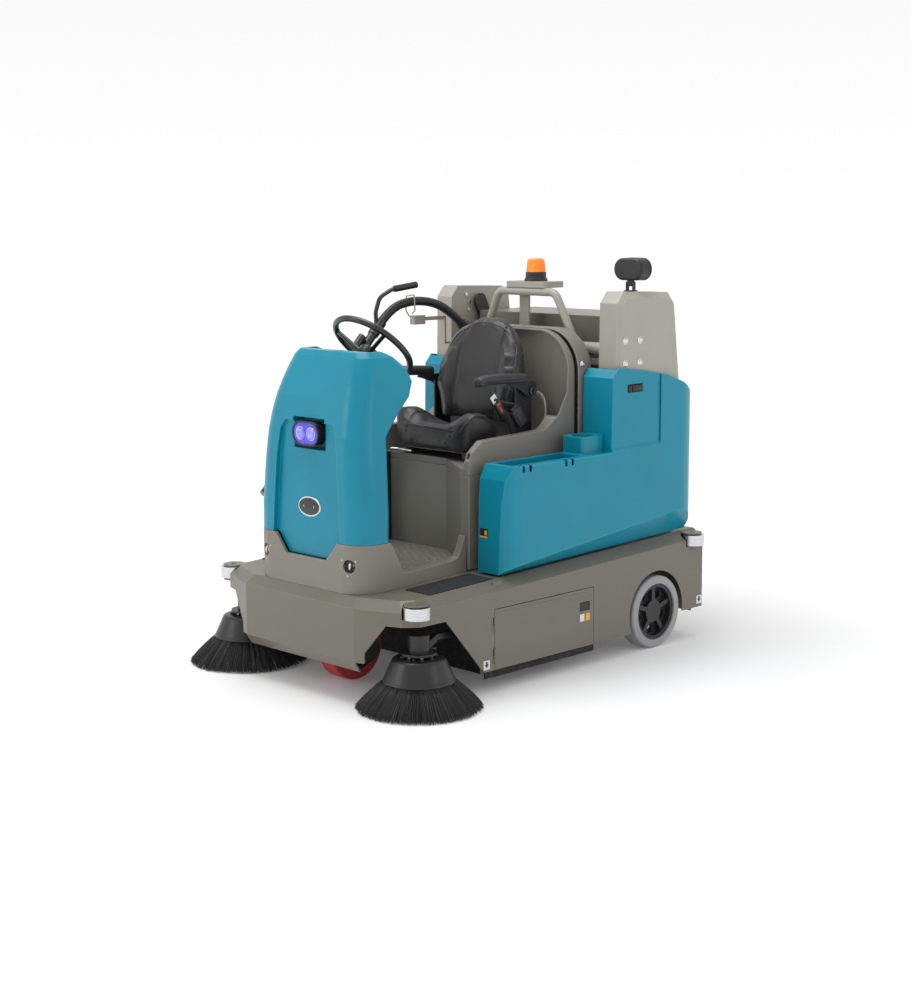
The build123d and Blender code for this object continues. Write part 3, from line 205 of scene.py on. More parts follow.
def make_materials():
    teal = lin(4, 128, 152)
    tower = lin(158, 154, 144)
    m = {}
    # The edge colours below are lighter tones painted along rounded edges as highlights.
    m["painted_taupe"] = material("painted_taupe", lin(104, 101, 88), 0.42, vary=0.05, grain=1400,
                                  bump=0.16, edge_highlight=lin(146, 142, 128), highlight_share=0.55, coat=0.15,
                                  round_edges=0.003)
    m["taupe_plastic"] = material("taupe_plastic", lin(122, 119, 110), 0.46, vary=0.04, grain=2200,
                                  bump=0.22, edge_highlight=lin(168, 163, 152), highlight_share=0.5, round_edges=0.006,
                                  highlight_width=0.008)
    m["teal_plastic"] = material("teal_plastic", teal, 0.32, shine=0.3, vary=0.05, grain=2400, bump=0.10,
                                 edge_highlight=lin(40, 178, 205), highlight_share=0.45, coat=0.06, coat_rough=0.2,
                                 round_edges=0.006, highlight_width=0.008)
    m["tower_grey"] = material("tower_grey", tower, 0.40, vary=0.04, grain=1400, bump=0.14,
                               edge_highlight=lin(196, 192, 182), highlight_share=0.5, coat=0.15, round_edges=0.004)
    m["black_paint"] = material("black_paint", lin(26, 26, 27), 0.38, vary=0.2, grain=900,
                                edge_highlight=lin(70, 70, 72))
    m["grey_tread"] = material("grey_tread", lin(38, 38, 40), 0.92, vary=0.18, patch=60, grain=1500,
                               bump=0.9, depth=0.0012, islands=0.0)
    m["black_rubber"] = material("black_rubber", lin(28, 28, 28), 0.8, vary=0.15, grain=700, dirt=0.25)
    m["black_plastic"] = material("black_plastic", lin(30, 30, 31), 0.48, vary=0.1, grain=1800, bump=0.25,
                                  edge_highlight=lin(66, 66, 68), highlight_share=0.5)
    m["black_gloss"] = material("black_gloss", lin(22, 22, 23), 0.3, vary=0.1, grain=1500, bump=0.06,
                                edge_highlight=lin(60, 60, 62), coat=0.3)
    m["red_plastic"] = material("red_plastic", lin(190, 24, 30), 0.3, coat=0.4)
    m["bright_zinc"] = material("bright_zinc", lin(206, 207, 208), 0.26, metallic=1.0, vary=0.1, patch=40,
                                grain=600, stretch=(1, 1, 14), bump=0.1, edge_highlight=lin(236, 236, 238))
    m["grey_tyre"] = material("grey_tyre", lin(150, 150, 152), 0.66, vary=0.08, grain=500, bump=0.2,
                              dirt=0.35,
                              edge_highlight=lin(186, 186, 188), highlight_share=0.4)
    m["red_tyre"] = material("red_tyre", lin(176, 44, 50), 0.5, vary=0.1, grain=400, dirt=0.2)
    m["wheel_black"] = material("wheel_black", lin(34, 34, 36), 0.42, vary=0.12, edge_highlight=lin(84, 84, 88))
    m["steel"] = material("steel", lin(150, 150, 152), 0.34, metallic=1.0, stretch=(1, 1, 20))
    m["lamp_black"] = material("lamp_black", lin(24, 24, 26), 0.4, edge_highlight=lin(70, 70, 74), bump=0.2)
    m["bristle_black"] = material("bristle_black", lin(30, 30, 31), 0.42, vary=0.2, islands=1.9,
                                  round_edges=0,
                                  grain=200, stretch=(1, 1, 0.1))
    m["cup_black"] = material("cup_black", lin(28, 28, 29), 0.36, vary=0.1, grain=1500,
                              edge_highlight=lin(60, 60, 62))
    m["seat_vinyl"] = material("seat_vinyl", lin(33, 33, 34), 0.40, vary=0.1, patch=8, cells=620, bump=0.26,
                               depth=0.0006, round_edges=0.0, edge_highlight=None, sheen=0.05, rough_spread=0.2)
    # Painted highlight: the piping is real, but its lighter grey than the vinyl stands in for the highlight
    # that runs along it.
    m["piping_painted_highlight"] = material("piping_painted_highlight", lin(58, 58, 60), 0.34, grain=700)
    m["hose_black"] = material("hose_black", lin(26, 26, 27), 0.42, vary=0.12, grain=500, round_edges=0)
    m["battery_grey"] = material("battery_grey", lin(88, 88, 92), 0.6)
    m["sticker_white"] = material("sticker_white", lin(214, 214, 210), 0.4, vary=0.02)
    m["sticker_yellow"] = material("sticker_yellow", lin(216, 168, 40), 0.4, vary=0.03)
    m["sticker_black"] = material("sticker_black", lin(26, 26, 27), 0.35, vary=0.03)
    # Painted shade: a near-black matte colour for sheets that stand in for the shade in a recess.
    m["painted_gap_shade"] = material("painted_gap_shade", lin(16, 16, 17), 0.8, vary=0.05)
    m["amber_lens"] = glassy("amber_lens", 30, 3, lin(236, 118, 20), lin(250, 148, 44), 0.16, 0.25,
                             **{"Transmission Weight": 0.25})
    m["led_blue"] = glassy("led_blue", 90, 2, lin(60, 60, 235), lin(130, 130, 255), 0.1, 0.9)
    m["lens_deep"] = glassy("lens_deep", 70, 2, lin(40, 34, 150), lin(70, 60, 205), 0.08, 0.45,
                            **{"Coat Weight": 0.6})
    m["lens_clear"] = glassy("lens_clear", 60, 2, lin(190, 196, 206), lin(226, 230, 236), 0.06, 0,
                             **{"Metallic": 0.75})
    return m


MATS = make_materials()
SLOT_OF = {s["node"]: s["material_slot"] for s in frame["record"]["subparts"]}


def dress_frame():
    for name, node in nodes.items():
        node.data.materials.clear()
        node.data.materials.append(MATS[SLOT_OF[name]])


dress_frame()


# ---------------------------------------------------------------- mesh helpers
def finish_mesh(name, bm, mat, body, smooth=True, angle=40):
    bmesh.ops.recalc_face_normals(bm, faces=bm.faces)
    mesh = bpy.data.meshes.new(name)
    bm.to_mesh(mesh)
    bm.free()
    obj = bpy.data.objects.new(name, mesh)
    bpy.context.scene.collection.objects.link(obj)
    mesh.materials.append(MATS[mat])
    if smooth:
        mesh.shade_smooth()
        if angle:
            mesh.set_sharp_from_angle(angle=math.radians(angle))
    if body:
        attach(obj, body)
    return obj


def frame_of(origin, axis, across=None):
    z = Vector(axis).normalized()
    guess = Vector(across) if across else (Vector((1, 0, 0)) if abs(z.x) < 0.9 else Vector((0, 1, 0)))
    x = (guess - z * guess.dot(z)).normalized()
    y = z.cross(x)
    turn = Matrix((x, y, z)).transposed().to_4x4()
    return Matrix.Translation(Vector(origin)) @ turn


def add_box(bm, size, place, radius=0.002, segments=2):
    made = bmesh.ops.create_cube(bm, size=1)
    verts = made["verts"]
    bmesh.ops.scale(bm, vec=size, verts=verts)
    edges = {e for v in verts for e in v.link_edges}
    if radius:
        out = bmesh.ops.bevel(bm, geom=list(edges), offset=radius, segments=segments, profile=0.5,
                              affect="EDGES")
        verts = list({v for f in out["faces"] for v in f.verts} | {v for v in verts if v.is_valid})
    bmesh.ops.transform(bm, matrix=place, verts=verts)


def add_lathe(bm, profile, place, steps=48, wobble=None):
    rings = []
    for r, z in profile:
        ring = []
        for i in range(steps):
            a = 2 * math.pi * i / steps
            rr = r + (wobble(i, r, z) if wobble else 0)
            ring.append(bm.verts.new(place @ Vector((rr * math.cos(a), rr * math.sin(a), z))))
        rings.append(ring)
    for low, high in zip(rings, rings[1:]):
        for i in range(steps):
            bm.faces.new((low[i], low[(i + 1) % steps], high[(i + 1) % steps], high[i]))
    bm.faces.new(rings[0][::-1])
    bm.faces.new(rings[-1])


def add_tube(bm, path, radii, steps=10, flat=1.0):
    """A closed tube along path, with one radius for each point."""
    rings = []
    side = None
    for i, p in enumerate(path):
        ahead = path[min(i + 1, len(path) - 1)] - path[max(i - 1, 0)]
        ahead.normalize()
        if side is None:
            side = ahead.orthogonal().normalized()
        side = (side - ahead * side.dot(ahead)).normalized()
        other = ahead.cross(side)
        ring = []
        for k in range(steps):
            a = 2 * math.pi * k / steps
            ring.append(bm.verts.new(p + (side * math.cos(a) + other * math.sin(a) * flat) * radii[i]))
        rings.append(ring)
    for low, high in zip(rings, rings[1:]):
        for k in range(steps):
            bm.faces.new((low[k], low[(k + 1) % steps], high[(k + 1) % steps], high[k]))
    bm.faces.new(rings[0][::-1])
    bm.faces.new(rings[-1])


def smooth_path(points, per=8):
    """Catmull-Rom points through the given ones."""
    pts = [Vector(p) for p in points]
    pts = [pts[0] * 2 - pts[1]] + pts + [pts[-1] * 2 - pts[-2]]
    out = []
    for a, b, c, d in zip(pts, pts[1:], pts[2:], pts[3:]):
        for i in range(per):
            t = i / per
            out.append(0.5 * (2 * b + (c - a) * t + (2 * a - 5 * b + 4 * c - d) * t * t
                              + (3 * b - a - 3 * c + d) * t * t * t))
    out.append(pts[-2])
    return out


def tree_of(obj):
    depsgraph = bpy.context.evaluated_depsgraph_get()
    return BVHTree.FromObject(obj, depsgraph)


def step(low, high, v):
    t = min(1, max(0, (v - low) / (high - low)))
    return t * t * (3 - 2 * t)


TREES = {}


def on_node(name, origin, direction):
    if name not in TREES:
        TREES[name] = tree_of(nodes[name])
    spot, normal, _, _ = TREES[name].ray_cast(Vector(origin), Vector(direction))
    if spot is None:
        return Vector(origin), -Vector(direction)
    if normal.dot(Vector(direction)) > 0:
        normal = -normal
    return spot, normal


# ---------------------------------------------------------------- the hose, first
HOSE_ROUTE = ((-0.372, -0.064, 1.3572), (-0.371, -0.006, 1.414), (-0.362, 0.094, 1.440),
              (-0.350, 0.198, 1.434),
              (-0.336, 0.288, 1.398), (-0.322, 0.354, 1.336))
HOSE_RADIUS = 0.019


def spline_object(name, points, order=3):
    curve = bpy.data.curves.new(name, "CURVE")
    curve.dimensions = "3D"
    spline = curve.splines.new("NURBS")
    spline.points.add(len(points) - 1)
    for point, xyz in zip(spline.points, points):
        point.co = (*xyz, 1)
    spline.order_u = order
    spline.use_endpoint_u = True
    spline.resolution_u = 16
    obj = bpy.data.objects.new(name, curve)
    bpy.context.scene.collection.objects.link(obj)
    return obj


def line_of(obj):
    bpy.context.view_layer.update()
    mesh = bpy.data.meshes.new_from_object(obj.evaluated_get(bpy.context.evaluated_depsgraph_get()))
    points = [v.co.copy() for v in mesh.vertices]
    bpy.data.meshes.remove(mesh)
    return points


def make_hose():
    guide = spline_object("hose_guide", HOSE_ROUTE)
    line = line_of(guide)
    bpy.data.objects.remove(guide)
    lengths = [0.0]
    for a, b in zip(line, line[1:]):
        lengths.append(lengths[-1] + (b - a).length)
    total = lengths[-1]
    pitch = 0.0065
    count = int(total / (pitch / 4))
    path, radii, j = [], [], 0
    for i in range(count + 1):
        s = total * i / count
        while j < len(lengths) - 2 and lengths[j + 1] < s:
            j += 1
        t = (s - lengths[j]) / (lengths[j + 1] - lengths[j])
        path.append(line[j].lerp(line[j + 1], t))
        cuff = 1 - step(0, 0.004, abs(s - total / 2) - (total / 2 - 0.034))
        radii.append(HOSE_RADIUS - (0.0011 * (0.5 - 0.5 * math.cos(2 * math.pi * s / pitch))) * cuff)
    bm = bmesh.new()
    add_tube(bm, path, radii, steps=28)
    hose = finish_mesh("hose", bm, "hose_black", "chassis", angle=0)
    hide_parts("vacuum_hose")


make_hose()


# ---------------------------------------------------------------- side brushes
BRUSH_SPOT = (0.511, -0.694)


def make_side_brush(side, sign):
    body = "side_brush_" + side
    rng = random.Random(7 + sign)
    place = Matrix.Translation((sign * BRUSH_SPOT[0], BRUSH_SPOT[1], 0))
    bm = bmesh.new()
    profile = [(0.112, 0.108), (0.128, 0.104), (0.135, 0.104), (0.1365, 0.107), (0.135, 0.112),
               (0.133, 0.114), (0.124, 0.134), (0.108, 0.170), (0.102, 0.184), (0.098, 0.190), (0.090, 0.194),
               (0.080, 0.1955), (0.060, 0.1955), (0.058, 0.192), (0.040, 0.192), (0.030, 0.200),
               (0.026, 0.2015),
               (0.012, 0.2015)]
    add_lathe(bm, profile, place, 72)
    for i in range(6):
        a = math.pi / 3 * i
        spot = place @ Matrix.Rotation(a, 4, "Z") @ Matrix.Translation((0.050, 0, 0.1965))
        add_box(bm, (0.044, 0.006, 0.012), spot, 0.0015)
    cup = finish_mesh("side_brush_cup_" + side, bm, "cup_black", body)
    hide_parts("side_brush_" + side)
    bm = bmesh.new()
    for i in range(6):
        a = math.pi / 3 * (i + 0.5)
        spot = place @ Matrix.Rotation(a, 4, "Z") @ Matrix.Translation((0.048, 0, 0.196))
        add_lathe(bm, [(0.007, 0), (0.007, 0.005), (0.0062, 0.006)], spot, 6)
    finish_mesh("side_brush_bolts_" + side, bm, "bright_zinc", body, angle=25)
    bm = bmesh.new()
    count = 2600
    for i in range(count):
        layer = rng.random() ** 0.6
        a = 2 * math.pi * (i + rng.uniform(-0.5, 0.5)) / count
        r0 = 0.092 + 0.034 * layer
        r1 = 0.186 + 0.055 * layer + rng.uniform(-0.004, 0.0010)
        lean = rng.gauss(0, 0.010)
        wave = 0.5 + 0.5 * math.sin(5 * a)
        low = rng.uniform(0.0015, 0.005) + 0.003 * (1 - layer) + 0.004 * wave * layer
        path = []
        for k in range(4):
            t = k / 3
            r = r0 + (r1 - r0) * (1.12 * t - 0.12 * t * t)
            z = 0.113 + (low - 0.113) * (0.88 * t + 0.12 * t * t)
            aa = a + lean * t
            path.append(place @ Vector((r * math.cos(aa), r * math.sin(aa), z)))
        thick = 0.00115
        add_tube(bm, path, [thick, thick, thick * 0.95, thick * 0.8], steps=3)
    finish_mesh("side_brush_bristles_" + side, bm, "bristle_black", body, angle=0)


for side, sign in SIDES:
    make_side_brush(side, sign)


# ---------------------------------------------------------------- main brush
def make_main_brush():
    y, z, half = -0.055, 0.142, 0.390
    place = frame_of((-half, y, z), (1, 0, 0), (0, 1, 0))
    bm = bmesh.new()
    add_lathe(bm, [(0.018, 0), (0.060, 0.001), (0.062, 0.004), (0.062, 2 * half - 0.004),
                   (0.060, 2 * half - 0.001),
                   (0.018, 2 * half)], place, 48)
    core = finish_mesh("main_brush_core", bm, "cup_black", "main_brush")
    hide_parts("main_brush")
    rng = random.Random(11)
    bm = bmesh.new()
    for row in range(8):
        for i in range(190):
            along = 0.006 + (2 * half - 0.012) * (i + rng.random()) / 190
            chevron = 0.55 * abs(along - half) / half
            a = row * math.pi / 4 + chevron + rng.uniform(-0.09, 0.09)
            r = 0.138 + rng.uniform(-0.004, 0.001)
            path = [place @ Vector((q * math.cos(a + w), q * math.sin(a + w), along + d))
                    for q, w, d in ((0.058, 0, 0), (0.1, rng.gauss(0, 0.01), 0), (r, rng.gauss(0, 0.02),
                                                                                rng.gauss(0, 0.001)))]
            add_tube(bm, path, [0.0016, 0.0016, 0.0012], steps=3)
    finish_mesh("main_brush_bristles", bm, "bristle_black", "main_brush", angle=0)


make_main_brush()


# ---------------------------------------------------------------- padded pieces
def inflate(obj, voxel, pressure, cap, frames=20):
    """Voxel remesh, blow up with a cloth simulation and limit how far each point moves."""
    mod = obj.modifiers.new("skin", "REMESH")
    mod.mode = "VOXEL"
    mod.voxel_size = voxel
    apply_modifier(obj, mod.name)
    smooth = obj.modifiers.new("relax", "SMOOTH")
    smooth.factor = 0.5
    smooth.iterations = 6
    apply_modifier(obj, smooth.name)
    rest = [v.co.copy() for v in obj.data.vertices]
    cloth = obj.modifiers.new("cloth", "CLOTH")
    cloth.settings.use_pressure = True
    cloth.settings.uniform_pressure_force = pressure
    cloth.settings.effector_weights.gravity = 0
    cloth.settings.quality = 4
    cloth.settings.tension_stiffness = 20
    cloth.settings.compression_stiffness = 20
    cloth.point_cache.frame_start = 1
    cloth.point_cache.frame_end = frames
    for i in range(1, frames + 1):
        bpy.context.scene.frame_set(i)
    evaluated = obj.evaluated_get(bpy.context.evaluated_depsgraph_get())
    moved = [v.co.copy() for v in evaluated.data.vertices]
    obj.modifiers.remove(cloth)
    bpy.context.scene.frame_set(1)
    for v, a, b in zip(obj.data.vertices, rest, moved):
        d = b - a
        if d.length > cap:
            d = d * (cap / d.length)
        v.co = a + d
    sub = obj.modifiers.new("fine", "SUBSURF")
    sub.levels = 1
    sub.render_levels = 1
    apply_modifier(obj, sub.name)
    obj.data.shade_smooth()


def apply_modifier(obj, name):
    bpy.context.view_layer.objects.active = obj
    bpy.ops.object.modifier_apply(modifier=name)


def free_object(name, bm, mat):
    return finish_mesh(name, bm, mat, None)


def grooved(obj, lines, width, depth):
    """Presses a seam into the surface along each line of points."""
    from mathutils.kdtree import KDTree
    pts = [p for line in lines for p in line]
    tree = KDTree(len(pts))
    for i, p in enumerate(pts):
        tree.insert(p, i)
    tree.balance()
    normals = [v.normal.copy() for v in obj.data.vertices]
    for v, n in zip(obj.data.vertices, normals):
        _, _, d = tree.find(v.co)
        if d < 3 * width:
            v.co = v.co - n * depth * math.exp(-(d / width) ** 2)


def cushion_top(x, y):
    """Height of the cushion's upper face: a flat middle, a rolled front and a tall wing on each side."""
    z = 0.952 - 0.010 * step(-0.06, 0.06, y)
    wing = step(0.06, 0.175, abs(x))
    rise = 0.026 + 0.040 * step(-0.150, -0.092, y) - 0.052 * step(-0.060, 0.060, y)
    z += wing * rise
    z += 0.010 * math.exp(-((y + 0.125) / 0.035) ** 2)
    return z


def plan_point(a, scale, half, front, rear, power=4.5):
    """A rounded rectangle as a superellipse."""
    c, s = math.cos(a), math.sin(a)
    r = (abs(c) ** power + abs(s) ** power) ** (-1 / power)
    mid = (front + rear) / 2
    return Vector((c * r * half * scale, mid + s * r * (rear - front) / 2 * scale, 0))


def add_blob(bm, half, front, rear, top, levels, steps=96, power=4.5):
    """A closed body: levels are (z or None, scale); the top is a dome of rings that follows top(x, y)."""
    rings = []
    for z, scale in levels:
        ring = []
        for i in range(steps):
            p = plan_point(2 * math.pi * i / steps, scale, half, front, rear, power)
            p.z = z
            ring.append(bm.verts.new(p))
        rings.append(ring)
    for scale, drop in ((1.0, 0.020), (0.985, 0.008), (0.95, 0.001), (0.88, 0), (0.76, 0), (0.6, 0),
                        (0.42, 0),
                        (0.22, 0), (0.08, 0)):
        ring = []
        for i in range(steps):
            p = plan_point(2 * math.pi * i / steps, scale, half, front, rear, power)
            p.z = top(p.x, p.y) - drop
            ring.append(bm.verts.new(p))
        rings.append(ring)
    for low, high in zip(rings, rings[1:]):
        for i in range(steps):
            bm.faces.new((low[i], low[(i + 1) % steps], high[(i + 1) % steps], high[i]))
    bm.faces.new(rings[0][::-1])
    bm.faces.new(rings[-1])


def make_cushion():
    bm = bmesh.new()
    add_blob(bm, 0.222, -0.154, 0.060, cushion_top,
             ((0.870, 0.86), (0.872, 0.92), (0.885, 0.965), (0.905, 0.99), (0.925, 1.0)), power=5)
    cushion = free_object("seat_cushion_pad", bm, "seat_vinyl")
    inflate(cushion, 0.006, 4.0, 0.008)
    tree = tree_of(cushion)
    pipes, seams = [], []
    ring = []
    for i in range(180):
        a = math.pi + math.pi * i / 179
        p = plan_point(a, 0.975, 0.226, -0.158, 0.075, 5)
        hit = tree.ray_cast(Vector((p.x * 0.985, p.y, 1.2)), Vector((0, 0, -1)))[0]
        if hit is not None and hit.z > 0.90:
            ring.append(hit)
    pipes.append(ring)
    for sign in (1, -1):
        line = []
        for i in range(60):
            y = -0.150 + 0.200 * i / 59
            hit = tree.ray_cast(Vector((sign * 0.128, y, 1.2)), Vector((0, 0, -1)))[0]
            if hit is not None:
                line.append(hit)
        seams.append(line)
    grooved(cushion, seams, 0.005, 0.004)
    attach(cushion, "seat")
    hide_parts("seat_cushion")
    # Piping tubes, coloured a lighter grey as a painted highlight.
    bm = bmesh.new()
    for line in pipes:
        add_tube(bm, line, [0.0036] * len(line), steps=8)
    piping_painted_highlight = finish_mesh("seat_cushion_piping", bm, "piping_painted_highlight", "seat", angle=0)
    return cushion, piping_painted_highlight


BACK_LEVELS = ((0.962, 0.208, 0.134, 0.100), (1.020, 0.226, 0.142, 0.112), (1.105, 0.236, 0.152, 0.118),
               (1.180, 0.232, 0.166, 0.118), (1.235, 0.216, 0.176, 0.114), (1.290, 0.184, 0.190, 0.104),
               (1.335, 0.142, 0.204, 0.086), (1.366, 0.098, 0.214, 0.064), (1.384, 0.052, 0.220, 0.040))


def make_back():
    bm = bmesh.new()
    steps = 72
    rings = []
    for z, half, mid, thick in BACK_LEVELS:
        ring = []
        for i in range(steps):
            a = 2 * math.pi * i / steps
            c, s = math.cos(a), math.sin(a)
            r = (abs(c) ** 3.4 + abs(s) ** 3.4) ** (-1 / 3.4)
            x = c * r * half * 0.965
            y = s * r * thick / 2 * 0.9
            if s < 0:
                middle = 1 - step(0.105, 0.170, abs(x))
                y += 0.024 * middle * step(0.05, 0.14, half - 0.05)
                wing = step(0.15, 0.22, abs(x))
                y -= 0.016 * wing * step(1.0, 1.1, z) * (1 - step(1.2, 1.3, z))
            ring.append(bm.verts.new((x, mid + y, z)))
        rings.append(ring)
    for low, high in zip(rings, rings[1:]):
        for i in range(steps):
            bm.faces.new((low[i], low[(i + 1) % steps], high[(i + 1) % steps], high[i]))
    bm.faces.new(rings[0][::-1])
    bm.faces.new(rings[-1])
    back = free_object("seat_back_pad", bm, "seat_vinyl")
    inflate(back, 0.006, 4.0, 0.008)
    tree = tree_of(back)
    seams = []
    for sign in (1, -1):
        line = []
        for i in range(100):
            t = i / 99
            x = sign * (0.128 - 0.020 * t)
            z = 0.975 + 0.375 * t
            hit = tree.ray_cast(Vector((x, -0.4, z)), Vector((0, 1, 0)))[0]
            if hit is not None:
                line.append(hit)
        seams.append(line)
    grooved(back, seams, 0.0045, 0.0045)
    pipe = []
    for i in range(220):
        t = -1 + 2 * i / 219
        a = math.pi / 2 + t * 2.12
        x = 0.212 * math.cos(a) * (1 + 0.10 * max(0, -math.sin(a)))
        z = 1.165 + 0.196 * math.sin(a)
        hit = tree.ray_cast(Vector((x, -0.4, z)), Vector((0, 1, 0)))[0]
        if hit is not None:
            pipe.append(hit + Vector((0, 0.001, 0)))
    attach(back, "seat")
    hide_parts("seat_back")
    # Piping tube, coloured a lighter grey as a painted highlight.
    bm = bmesh.new()
    add_tube(bm, pipe, [0.0036] * len(pipe), steps=8)
    finish_mesh("seat_back_piping", bm, "piping_painted_highlight", "seat", angle=0)
    return back


make_cushion()
make_back()


def make_armrest(side, sign):
    body = "armrest_" + side
    x0 = sign * 0.273
    bm = bmesh.new()
    spine = smooth_path([(x0, -0.148, 1.146), (x0, -0.135, 1.150), (x0, -0.080, 1.157), (x0, 0.0, 1.156),
                         (x0, 0.080, 1.151), (x0, 0.118, 1.149), (x0, 0.126, 1.149)], 6)
    rings = []
    count = len(spine)
    for i, p in enumerate(spine):
        t = i / (count - 1)
        fat = min(1, (0.25 + 6 * t) ** 0.5, (0.2 + 9 * (1 - t)) ** 0.5)
        ring = []
        for k in range(28):
            a = 2 * math.pi * k / 28
            c, s = math.cos(a), math.sin(a)
            r = (abs(c) ** 3 + abs(s) ** 3) ** (-1 / 3)
            ring.append(bm.verts.new(p + Vector((c * r * 0.0262 * (0.65 + 0.35 * fat), 0,
                                                 s * r * 0.0185 * fat + 0.002 * (1 - c * c)))))
        rings.append(ring)
    for low, high in zip(rings, rings[1:]):
        for k in range(28):
            bm.faces.new((low[k], low[(k + 1) % 28], high[(k + 1) % 28], high[k]))
    bm.faces.new(rings[0][::-1])
    bm.faces.new(rings[-1])
    pad = free_object("armrest_pad_" + side, bm, "seat_vinyl")
    inflate(pad, 0.004, 3.0, 0.003)
    tree = tree_of(pad)
    lines = []
    for z, way in ((1.148, 1),):
        line = []
        for i in range(120):
            y = -0.140 + 0.255 * i / 119
            hit = tree.ray_cast(Vector((x0 + sign * way * 0.2, y, z - 0.03 * (y + 0.02) ** 2)),
                                Vector((-sign * way, 0, 0)))[0]
            if hit is not None:
                line.append(hit)
        lines.append(line)
    grooved(pad, lines, 0.003, 0.002)
    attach(pad, body)
    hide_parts("armrest_" + side)
    bm = bmesh.new()
    outline = [(0.176, 1.068), (0.196, 1.072), (0.209, 1.088), (0.212, 1.110), (0.205, 1.134),
               (0.150, 1.137), (0.090, 1.139), (0.040, 1.138), (0.030, 1.128), (0.060, 1.121), (0.112, 1.104),
               (0.150, 1.078)]
    for x in (0.2505, 0.2595):
        ring = [bm.verts.new((sign * x, y, z)) for y, z in outline]
        bm.faces.new(ring)
    verts = list(bm.verts)
    half = len(outline)
    for i in range(half):
        bm.faces.new((verts[i], verts[(i + 1) % half], verts[half + (i + 1) % half], verts[half + i]))
    link = finish_mesh("armrest_link_" + side, bm, "black_plastic", body, smooth=False)
    mod = link.modifiers.new("edges", "BEVEL")
    mod.width = 0.0015
    mod.segments = 2
    bm = bmesh.new()
    add_lathe(bm, [(0.013, 0), (0.019, 0.001), (0.019, 0.0075), (0.017, 0.009), (0.008, 0.0095),
                   (0.006, 0.0085)],
              frame_of((sign * 0.2595, 0.184, 1.094), (sign, 0, 0)), 36)
    for dy, dz in ((0.006, -0.010), (0.010, 0.008)):
        add_lathe(bm, [(0.003, 0), (0.003, 0.0115), (0.0022, 0.012)],
                  frame_of((sign * 0.2595, 0.184 + dy, 1.094 + dz), (sign, 0, 0)), 12)
    finish_mesh("armrest_cap_" + side, bm, "black_gloss", body)


for side, sign in SIDES:
    make_armrest(side, sign)


def make_belt():
    lean = Matrix.Rotation(math.radians(35), 4, "X")
    bm = bmesh.new()
    at = Matrix.Translation((0.281, 0.072, 1.000)) @ lean
    add_box(bm, (0.040, 0.052, 0.078), at, 0.006, 3)
    add_box(bm, (0.034, 0.040, 0.020), at @ Matrix.Translation((0, 0, 0.046)), 0.005, 3)
    add_box(bm, (0.006, 0.034, 0.060), at @ Matrix.Translation((0.0215, 0, -0.002)), 0.002, 2)
    retractor = finish_mesh("belt_retractor", bm, "black_plastic", "seat")
    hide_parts("seat_belt")
    bm = bmesh.new()
    strap = [(0.272, 0.070, 0.905), (0.272, 0.050, 0.965), (0.272, 0.015, 1.015), (0.272, -0.020, 1.040)]
    path = smooth_path(strap, 6)
    add_tube(bm, path, [0.013] * len(path), steps=12, flat=0.42)
    finish_mesh("belt_stalk", bm, "black_rubber", "seat")
    at = Matrix.Translation((0.272, -0.020, 1.042)) @ Matrix.Rotation(math.radians(38), 4, "X")
    bm = bmesh.new()
    add_box(bm, (0.018, 0.032, 0.060), at, 0.004, 3)
    finish_mesh("belt_buckle", bm, "black_plastic", "seat")
    bm = bmesh.new()
    add_box(bm, (0.020, 0.020, 0.012), at @ Matrix.Translation((0, 0, 0.020)), 0.002, 2)
    add_box(bm, (0.0186, 0.008, 0.030), at @ Matrix.Translation((0.0008, -0.002, -0.006)), 0.001, 2)
    finish_mesh("belt_button", bm, "red_plastic", "seat")
    bm = bmesh.new()
    inner = [(-0.006, 0.034), (0.006, 0.034), (0.006, 0.044), (-0.006, 0.044)]
    outer = [(-0.015, 0.026), (0.015, 0.026), (0.015, 0.060), (-0.015, 0.060)]
    for x in (-0.0012, 0.0012):
        for (y, z) in outer + inner:
            bm.verts.new(at @ Vector((x, y, z + 0.004)))
    v = list(bm.verts)
    for base in (0, 8):
        for i in range(4):
            bm.faces.new((v[base + i], v[base + (i + 1) % 4], v[base + 4 + (i + 1) % 4], v[base + 4 + i]))
    for ring in (0, 4):
        for i in range(4):
            bm.faces.new((v[ring + i], v[ring + (i + 1) % 4], v[8 + ring + (i + 1) % 4], v[8 + ring + i]))
    finish_mesh("belt_tongue", bm, "bright_zinc", "seat", smooth=False)
    bm = bmesh.new()
    webbing = [(0.272, -0.046, 1.078), (0.273, -0.030, 1.060), (0.281, 0.036, 1.044), (0.281, 0.052, 1.036)]
    web = smooth_path(webbing, 6)
    add_tube(bm, web, [0.020] * len(web), steps=4, flat=0.05)
    add_box(bm, (0.020, 0.05, 0.006), Matrix.Translation((0.256, 0.075, 0.8695)), 0.002, 2)
    add_box(bm, (0.006, 0.05, 0.090), Matrix.Translation((0.262, 0.078, 0.915)), 0.002, 2)
    finish_mesh("belt_bracket", bm, "black_paint", "seat", smooth=False)


make_belt()


# ---------------------------------------------------------------- lamps and beacon
def oval_plate(bm, place, wide, high, thick, steps=64, power=2.0, dome=0.0, inset=0.003):
    rings = []
    for scale, z in ((1, 0), (1, thick - inset), (1 - inset / wide * 2, thick), (0.7, thick + dome * 0.6),
                     (0.35, thick + dome * 0.92), (0.05, thick + dome)):
        ring = []
        for i in range(steps):
            a = 2 * math.pi * i / steps
            c, s = math.cos(a), math.sin(a)
            r = (abs(c) ** power + abs(s) ** power) ** (-1 / power) * scale
            ring.append(bm.verts.new(place @ Vector((c * r * wide / 2, s * r * high / 2, z))))
        rings.append(ring)
    for low, high_ring in zip(rings, rings[1:]):
        for i in range(steps):
            bm.faces.new((low[i], low[(i + 1) % steps], high_ring[(i + 1) % steps], high_ring[i]))
    bm.faces.new(rings[0][::-1])
    bm.faces.new(rings[-1])


